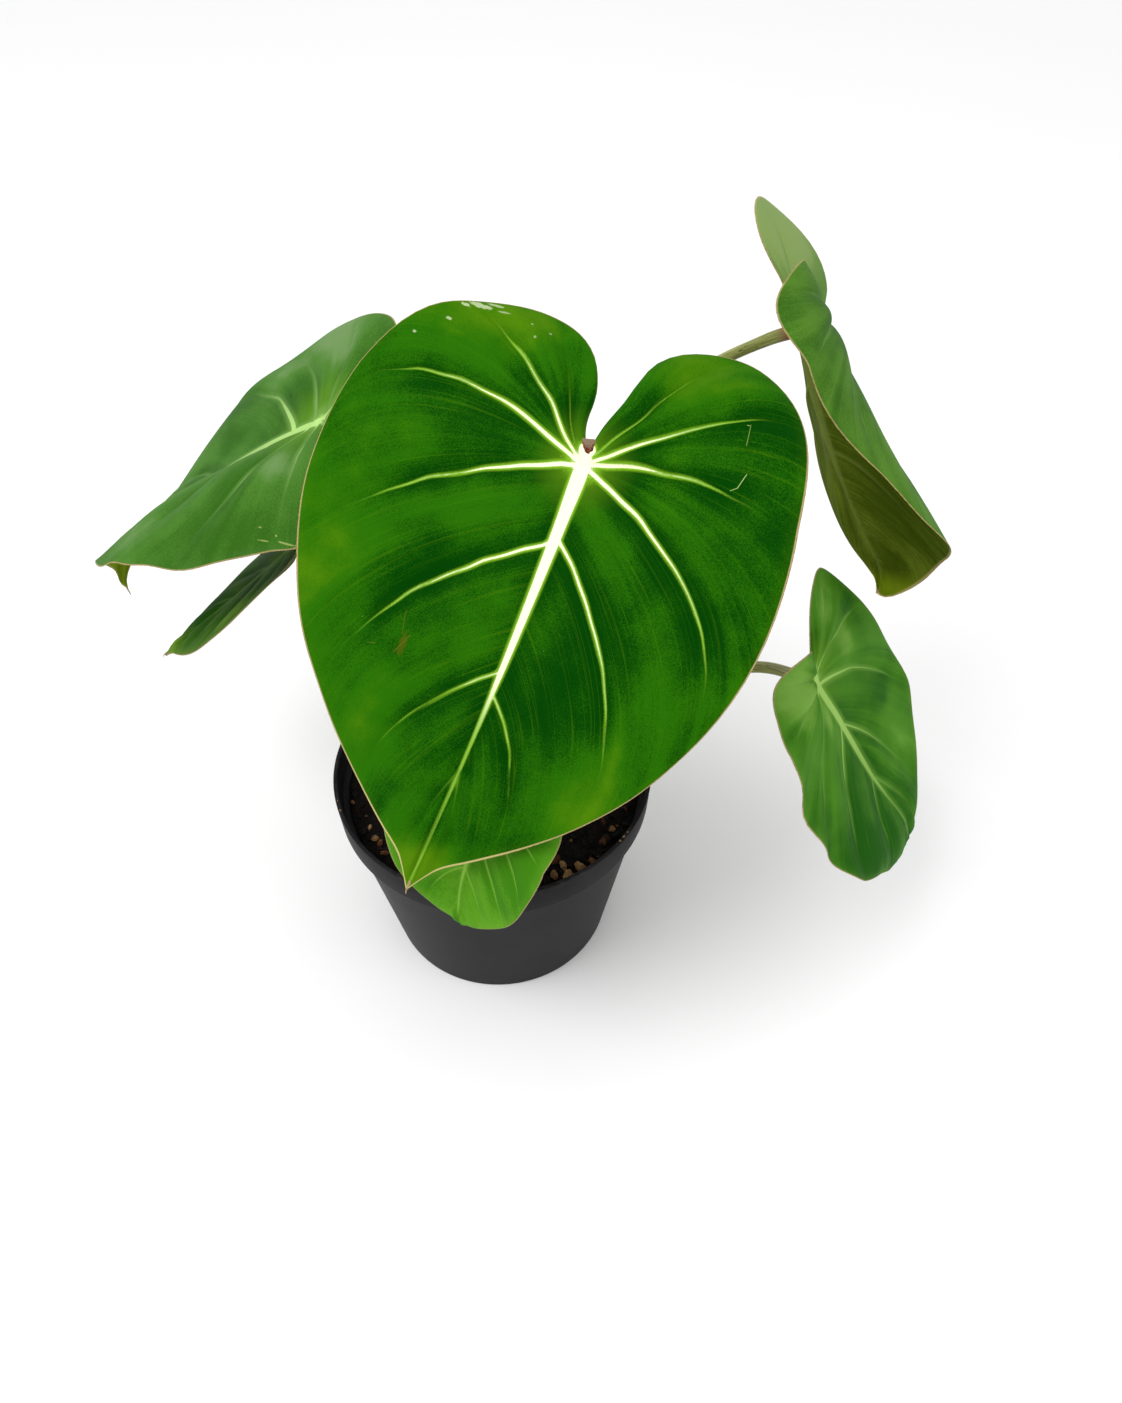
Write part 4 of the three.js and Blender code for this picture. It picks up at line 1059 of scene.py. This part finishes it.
def sinus_scale(leaf, skin):
    """The small brown wedge at the foot of the notch between both lobes, where the stalk comes through."""
    down, across = 10, 9
    wedge, length = NOTCH_WEDGE, leaf["length"]
    points, flats = [], []
    for side in (1, -1):
        for i in range(down):
            t = i / (down - 1)
            ends = [np.array(a) * (1 - t) + np.array(b) * t for a, b in zip(wedge["top"], wedge["foot"])]
            for j in range(across):
                v = j / (across - 1)
                x, y = ends[0] * (1 - v) + ends[1] * v
                half = 0 if x >= 0 else 1
                bulge = wedge["crown"] * math.sin(math.pi * v) * (1 - 0.6 * t)
                height = np.array(wedge["lift"] + side * (wedge["half_wall"] + bulge))
                local = bend(leaf, half, np.array(abs(x)) / length, np.array(y) / length, height)
                points.append(placed(leaf, half, np.array(x), np.array(y), local))
                flats.append((t, abs(2 * v - 1), v * 3 + t))
    piece = build("sinus_scale", points, sheet_faces(down, across), [skin], {"wedge": flats})
    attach(piece, "root")


def stalk(leaf, skin):
    """One leaf stalk, from inside the rhizome to the underside of its blade."""
    foot = along(RHIZOME_CURVE, leaf["foot"]) + (0, 0, rhizome_radius(leaf["foot"]) - STALK_SINK)
    rise = foot + (0, 0, 2 * RHIZOME["radius"] + STALK_SINK)
    _, _, normal = leaf_axes(leaf)
    end = np.array(leaf["at"], float)
    arrival = end - leaf["route"][-1]
    arrival /= np.linalg.norm(arrival)
    tilt = math.sqrt(max(0, 1 - np.dot(arrival, normal) ** 2))
    below = STALK_SEAT + STALK_TOP * tilt * 0.8 - leaf.get("nearer", 0)
    end = placed(leaf, 0, np.array(0.0), np.array(0.0), np.zeros(3)) - normal * below
    dense = curve_points([foot, rise, *leaf["route"], end], closed_ends=False)

    def radius_at(share, angle):
        base = STALK_BASE + (STALK_TOP - STALK_BASE) * float(smooth(0, 0.6, share))
        swell = 1 + 0.16 * float(smooth(0.9, 0.985, share)) - 0.25 * float(smooth(0.985, 1, share))
        foot_swell = 1 + 0.25 * float(1 - smooth(0, 0.05, share))
        ridges = 1 + 0.03 * math.cos(5 * angle) + 0.02 * math.cos(9 * angle + 1)
        return base * swell * foot_swell * ridges

    points, faces, fields = tube(dense, np.linspace(0, 1, 110), 28, radius_at)
    piece = build("stalk_" + leaf["name"], points, faces, [skin], fields)
    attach(piece, "root")
    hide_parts("petiole_" + leaf["name"])


def sheath(leaf, skin, rng):
    """A papery split sheath that wraps the foot of one stalk."""
    foot = along(RHIZOME_CURVE, leaf["foot"]) + (0, 0, rhizome_radius(leaf["foot"]) - SHEATH["sink"])
    turn = rng.uniform(0, 2 * math.pi)
    height = rng.uniform(*SHEATH["heights"])
    around, upward = 18, 14
    points, run = [], []
    for thickness in (0.0, SHEATH["wall"]):
        for i in range(upward):
            h = i / (upward - 1)
            open_angle = math.pi * (0.85 - 0.65 * h ** 1.5)
            for j in range(around):
                a = turn + open_angle * (2 * j / (around - 1) - 1)
                ripple = SHEATH["ripple"] * math.sin(5 * a + 7 * h)
                radius = SHEATH["foot_radius"] + SHEATH["flare"] * h ** 2 + ripple * h + thickness
                lift = height * h * (1 - 0.25 * abs(2 * j / (around - 1) - 1) ** 2)
                points.append(foot + (radius * math.cos(a), radius * math.sin(a), lift))
                run.append((a * 4, lift, 0))
    piece = build("sheath_" + leaf["name"], points, sheet_faces(upward, around), [skin], {"run": run})
    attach(piece, "root")


def rhizome(skin):
    """The creeping stem, with a raised ring at each scar and stalk."""
    rings = [leaf["foot"] for leaf in LEAVES] + [*SCARS["places"]]

    def ring_at(share):
        return sum(math.exp(-((share - r) / SCARS["reach"]) ** 2) for r in rings)

    def radius_at(share, angle):
        ripple = 0.03 * math.sin(3 * angle + 40 * share) + 0.02 * math.sin(7 * angle - 25 * share)
        return rhizome_radius(share) * (1 + ripple) + SCARS["height"] * ring_at(share)

    shares = np.linspace(0, 1, 150)
    points, faces, fields = tube(RHIZOME_CURVE, shares, 40, radius_at)
    fields["ring"] = np.array([ring_at(s) for s in fields["share"]])
    piece = build("creeping_stem", points, faces, [skin], fields)
    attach(piece, "root")
    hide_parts("rhizome")


def lathe(profile, segments):
    """Points and faces of a profile of radius and height, turned about the upright axis."""
    turns = [2 * math.pi * k / segments for k in range(segments)]
    points = [(r * math.cos(turn), r * math.sin(turn), z) for r, z in profile for turn in turns]
    return np.array(points), ring_faces(len(profile), segments)


def rounded(corners, steps=4):
    """A profile with each corner (radius, height, rounding) turned into a small arc."""
    out = [corners[0][:2]]
    for before, here, after in zip(corners[:-2], corners[1:-1], corners[2:]):
        p, q, r = (np.array(c[:2], float) for c in (before, here, after))
        size = here[2]
        if not size:
            out.append(tuple(q))
            continue
        start = q + (p - q) / np.linalg.norm(p - q) * size
        end = q + (r - q) / np.linalg.norm(r - q) * size
        for k in range(steps + 1):
            t = k / steps
            out.append(tuple((1 - t) ** 2 * start + 2 * t * (1 - t) * q + t * t * end))
    return out + [corners[-1][:2]]


def drills():
    """Upright cylinders where the pot's drain holes are."""
    points, faces = [], []
    sides = 32
    turns = [2 * math.pi * m / sides for m in range(sides)]
    ring = [(DRAIN["radius"] * math.cos(turn), DRAIN["radius"] * math.sin(turn)) for turn in turns]
    for k in range(DRAIN["count"]):
        angle = 2 * math.pi * (k + 0.5) / DRAIN["count"]
        middle = np.array([math.cos(angle), math.sin(angle), 0]) * DRAIN["circle_radius"]
        faces += ring_faces(2, sides, len(points))
        points += [middle + (x, y, z) for z in (-3, 6) for x, y in ring]
    return build("drills", points, faces, [])


def pot(skin):
    """The nursery pot: a turned shell, less its drain holes."""
    wall = POT["wall"]
    corners = [
        (0.01, 0, 0), (POT["base_radius"], 0, 1.6), (NECK_RADIUS, BAND_FOOT, 0.5),
        (BAND_RADIUS, BAND_FOOT, 0.7), (POT["rim_radius"], POT["height"], 0.7),
        (POT["rim_radius"] - wall, POT["height"], 0.7), (BAND_RADIUS - wall, BAND_FOOT + wall + 1, 1),
        (NECK_RADIUS - wall, BAND_FOOT + wall, 1), (POT["base_radius"] - wall, POT["floor"], 2),
        (0.01, POT["floor"], 0),
    ]
    points, faces = lathe(rounded(corners), 192)
    shell = build("nursery_pot", points, faces, [skin])
    cut = shell.modifiers.new("drain_holes", "BOOLEAN")
    cut.object = drills()
    cut.operation = "DIFFERENCE"
    cut.solver = "EXACT"
    depsgraph = bpy.context.evaluated_depsgraph_get()
    shell.data = bpy.data.meshes.new_from_object(shell.evaluated_get(depsgraph))
    bpy.data.objects.remove(cut.object)
    shell.modifiers.clear()
    shell.data.polygons.foreach_set("use_smooth", [True] * len(shell.data.polygons))
    shell.data.set_sharp_from_angle(angle=math.radians(35))
    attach(shell, "root")
    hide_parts("pot")


def soil_height(x, y):
    """The even top of the potting mix: a low crown with two gentle waves."""
    inward = max(0.0, 1 - (x * x + y * y) / POT["rim_radius"] ** 2)
    height = SOIL_EDGE + SOIL_CROWN * inward
    for size, kx, ky, start in SOIL_WAVES:
        height += size * math.sqrt(inward) * math.sin(kx * x + start) * math.cos(ky * y)
    return height


def soil_relief(x, y):
    """The top of the potting mix with its lumps."""
    lumps = noise.fractal(Vector((x * LUMP_SCALE, y * LUMP_SCALE, 4.0)), 0.9, 2.1, 4)
    return soil_height(x, y) + SOIL_LUMPS * lumps


def soil(mix):
    """The potting mix, from just above the pot's floor to its lumpy top."""
    rings, segments = 70, 220
    foot = POT["floor"] + FLOOR_GAP
    top_radius = NECK_RADIUS - POT["wall"] - NECK_GAP
    profile = [(0.02, foot), (POT["base_radius"] - POT["wall"] - WALL_GAP, foot), (top_radius, BAND_FOOT)]
    profile += [(max(top_radius * (1 - k / rings), 0.02), BAND_FOOT) for k in range(1, rings + 1)]
    points, faces = lathe(profile, segments)
    for k in range(2 * segments, len(points)):
        x, y, _ = points[k]
        points[k][2] = soil_relief(x, y)
    piece = build("potting_mix", points, faces, [mix])
    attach(piece, "root")
    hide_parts("soil")


def crumb_shape(rng, size):
    """A rough angular crumb: a squashed ball with its points pushed about."""
    rings, segments = 4, 7
    stretch = np.array([1, rng.uniform(0.5, 0.85), rng.uniform(0.35, 0.6)]) * size / 2
    points = [np.array([0, 0, -1.0])]
    for i in range(1, rings):
        angle = math.pi * i / rings - math.pi / 2
        for k in range(segments):
            turn = 2 * math.pi * (k + 0.5 * (i % 2)) / segments
            reach = math.cos(angle)
            points.append(np.array([reach * math.cos(turn), reach * math.sin(turn), math.sin(angle)]))
    points.append(np.array([0, 0, 1.0]))
    points = np.array([p * rng.uniform(0.72, 1.12) for p in points]) * stretch
    faces = [(0, 1 + (k + 1) % segments, 1 + k) for k in range(segments)]
    for i in range(rings - 2):
        for k in range(segments):
            a, b = 1 + i * segments + k, 1 + i * segments + (k + 1) % segments
            faces.append((a, b, b + segments, a + segments))
    top = len(points) - 1
    faces += [(top - segments + k, top - segments + (k + 1) % segments, top) for k in range(segments)]
    spin = rng.uniform(0, 2 * math.pi)
    lean, tip = rng.uniform(-0.6, 0.6), rng.uniform(-0.6, 0.6)
    cz, sz, cx, sx, cy, sy = (f(a) for a in (spin, lean, tip) for f in (math.cos, math.sin))
    turn_z = np.array([[cz, -sz, 0], [sz, cz, 0], [0, 0, 1]])
    turn_x = np.array([[1, 0, 0], [0, cx, -sx], [0, sx, cx]])
    turn_y = np.array([[cy, 0, sy], [0, 1, 0], [-sy, 0, cy]])
    return points @ (turn_z @ turn_x @ turn_y).T, faces


def bark(skin):
    """Crumbs strewn over the potting mix, more of them towards the right front, and a few on the rim."""
    rng = random.Random(11)
    points, faces, tones = [], [], []

    def drop(x, y, z, size, tone):
        shape, shape_faces = crumb_shape(rng, size)
        start = len(points)
        points.extend(shape + (x, y, z))
        faces.extend(tuple(start + c for c in face) for face in shape_faces)
        tones.extend([tone] * len(shape))

    for _ in range(STREWN["count"]):
        angle = rng.uniform(0, 2 * math.pi)
        reach = STREWN["radius"] * math.sqrt(rng.uniform(0.02, 1))
        x, y = reach * math.cos(angle), reach * math.sin(angle)
        size = STREWN["smallest"] + STREWN["spread"] * rng.random() ** 2.2
        tone = rng.random() ** 1.4
        drop(x, y, soil_relief(x, y) + size * 0.08, size, tone)
    for x, y, size, tone in LARGE_CRUMBS:
        drop(x, y, soil_relief(x, y) + size * 0.2, size, tone)
    radius = POT["rim_radius"] - POT["wall"] / 2
    for turn, size in RIM_CRUMBS:
        drop(radius * math.cos(turn), radius * math.sin(turn), POT["height"] + size * 0.15, size, 1.1)
    piece = build("bark_crumbs", points, faces, [skin], {"tone": tones}, smooth_shading=False)
    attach(piece, "root")


# The plant

for leaf in LEAVES:
    look = LOOKS[leaf["name"]]
    skins = [leaf_upper("upper_" + leaf["name"], look), leaf_under("under_" + leaf["name"], look),
             leaf_margin("margin_" + leaf["name"], look)]
    blade(leaf, skins)
    drip_tip(leaf, skins[2])
stalk_material = stalk_skin()
sheath_material = sheath_skin()
chance = random.Random(5)
for leaf in LEAVES:
    stalk(leaf, stalk_material)
    sheath(leaf, sheath_material, chance)
sinus_scale(LEAVES[0], sinus_skin())
rhizome(rhizome_skin())
pot(pot_plastic())
soil(potting_mix())
bark(bark_crumbs())


# Studio

# The camera's focal length and the picture's height are in pixels, the sensor in mm, the tilt in degrees.
CAMERA = dict(place=(0.030, -0.320, 0.480), tilt=43.4, focal=1120, picture_height=1403, sensor=36)


def plane(name, size, height, material):
    """A level square, size mm from its middle to each side."""
    corners = [(-size, -size, height), (size, -size, height), (size, size, height), (-size, size, height)]
    return build(name, corners, [(0, 1, 2, 3)], [material])


plane("studio_floor", 6000, 0, studio_white())


def area_light(name, place, aim, size, power):
    """A round white light that points at its aim."""
    lamp = bpy.data.lights.new(name, "AREA")
    lamp.shape = "DISK"
    lamp.size = size
    lamp.energy = power
    holder = bpy.data.objects.new(name, lamp)
    holder.location = place
    holder.rotation_euler = (Vector(aim) - Vector(place)).to_track_quat("-Z", "Y").to_euler()
    bpy.context.scene.collection.objects.link(holder)


area_light("key", (-0.7, -0.5, 1.5), (0.02, 0, 0.18), 0.9, 12)
area_light("fill", (1.1, -0.7, 1.0), (0.02, 0, 0.15), 1.0, 2)

world = bpy.data.worlds.new("studio_air")
world.use_nodes = True
world.node_tree.nodes["Background"].inputs["Color"].default_value = (1, 1, 1, 1)
world.node_tree.nodes["Background"].inputs["Strength"].default_value = 1.0
bpy.context.scene.world = world
bpy.context.scene.view_settings.view_transform = "Standard"

camera = bpy.data.cameras.new("camera")
camera.sensor_width = CAMERA["sensor"]
camera.lens = CAMERA["focal"] / CAMERA["picture_height"] * CAMERA["sensor"]
camera.clip_end = 20
holder = bpy.data.objects.new("camera", camera)
holder.location = CAMERA["place"]
holder.rotation_euler = (math.radians(CAMERA["tilt"]), 0, 0)
bpy.context.scene.collection.objects.link(holder)
bpy.context.scene.camera = holder
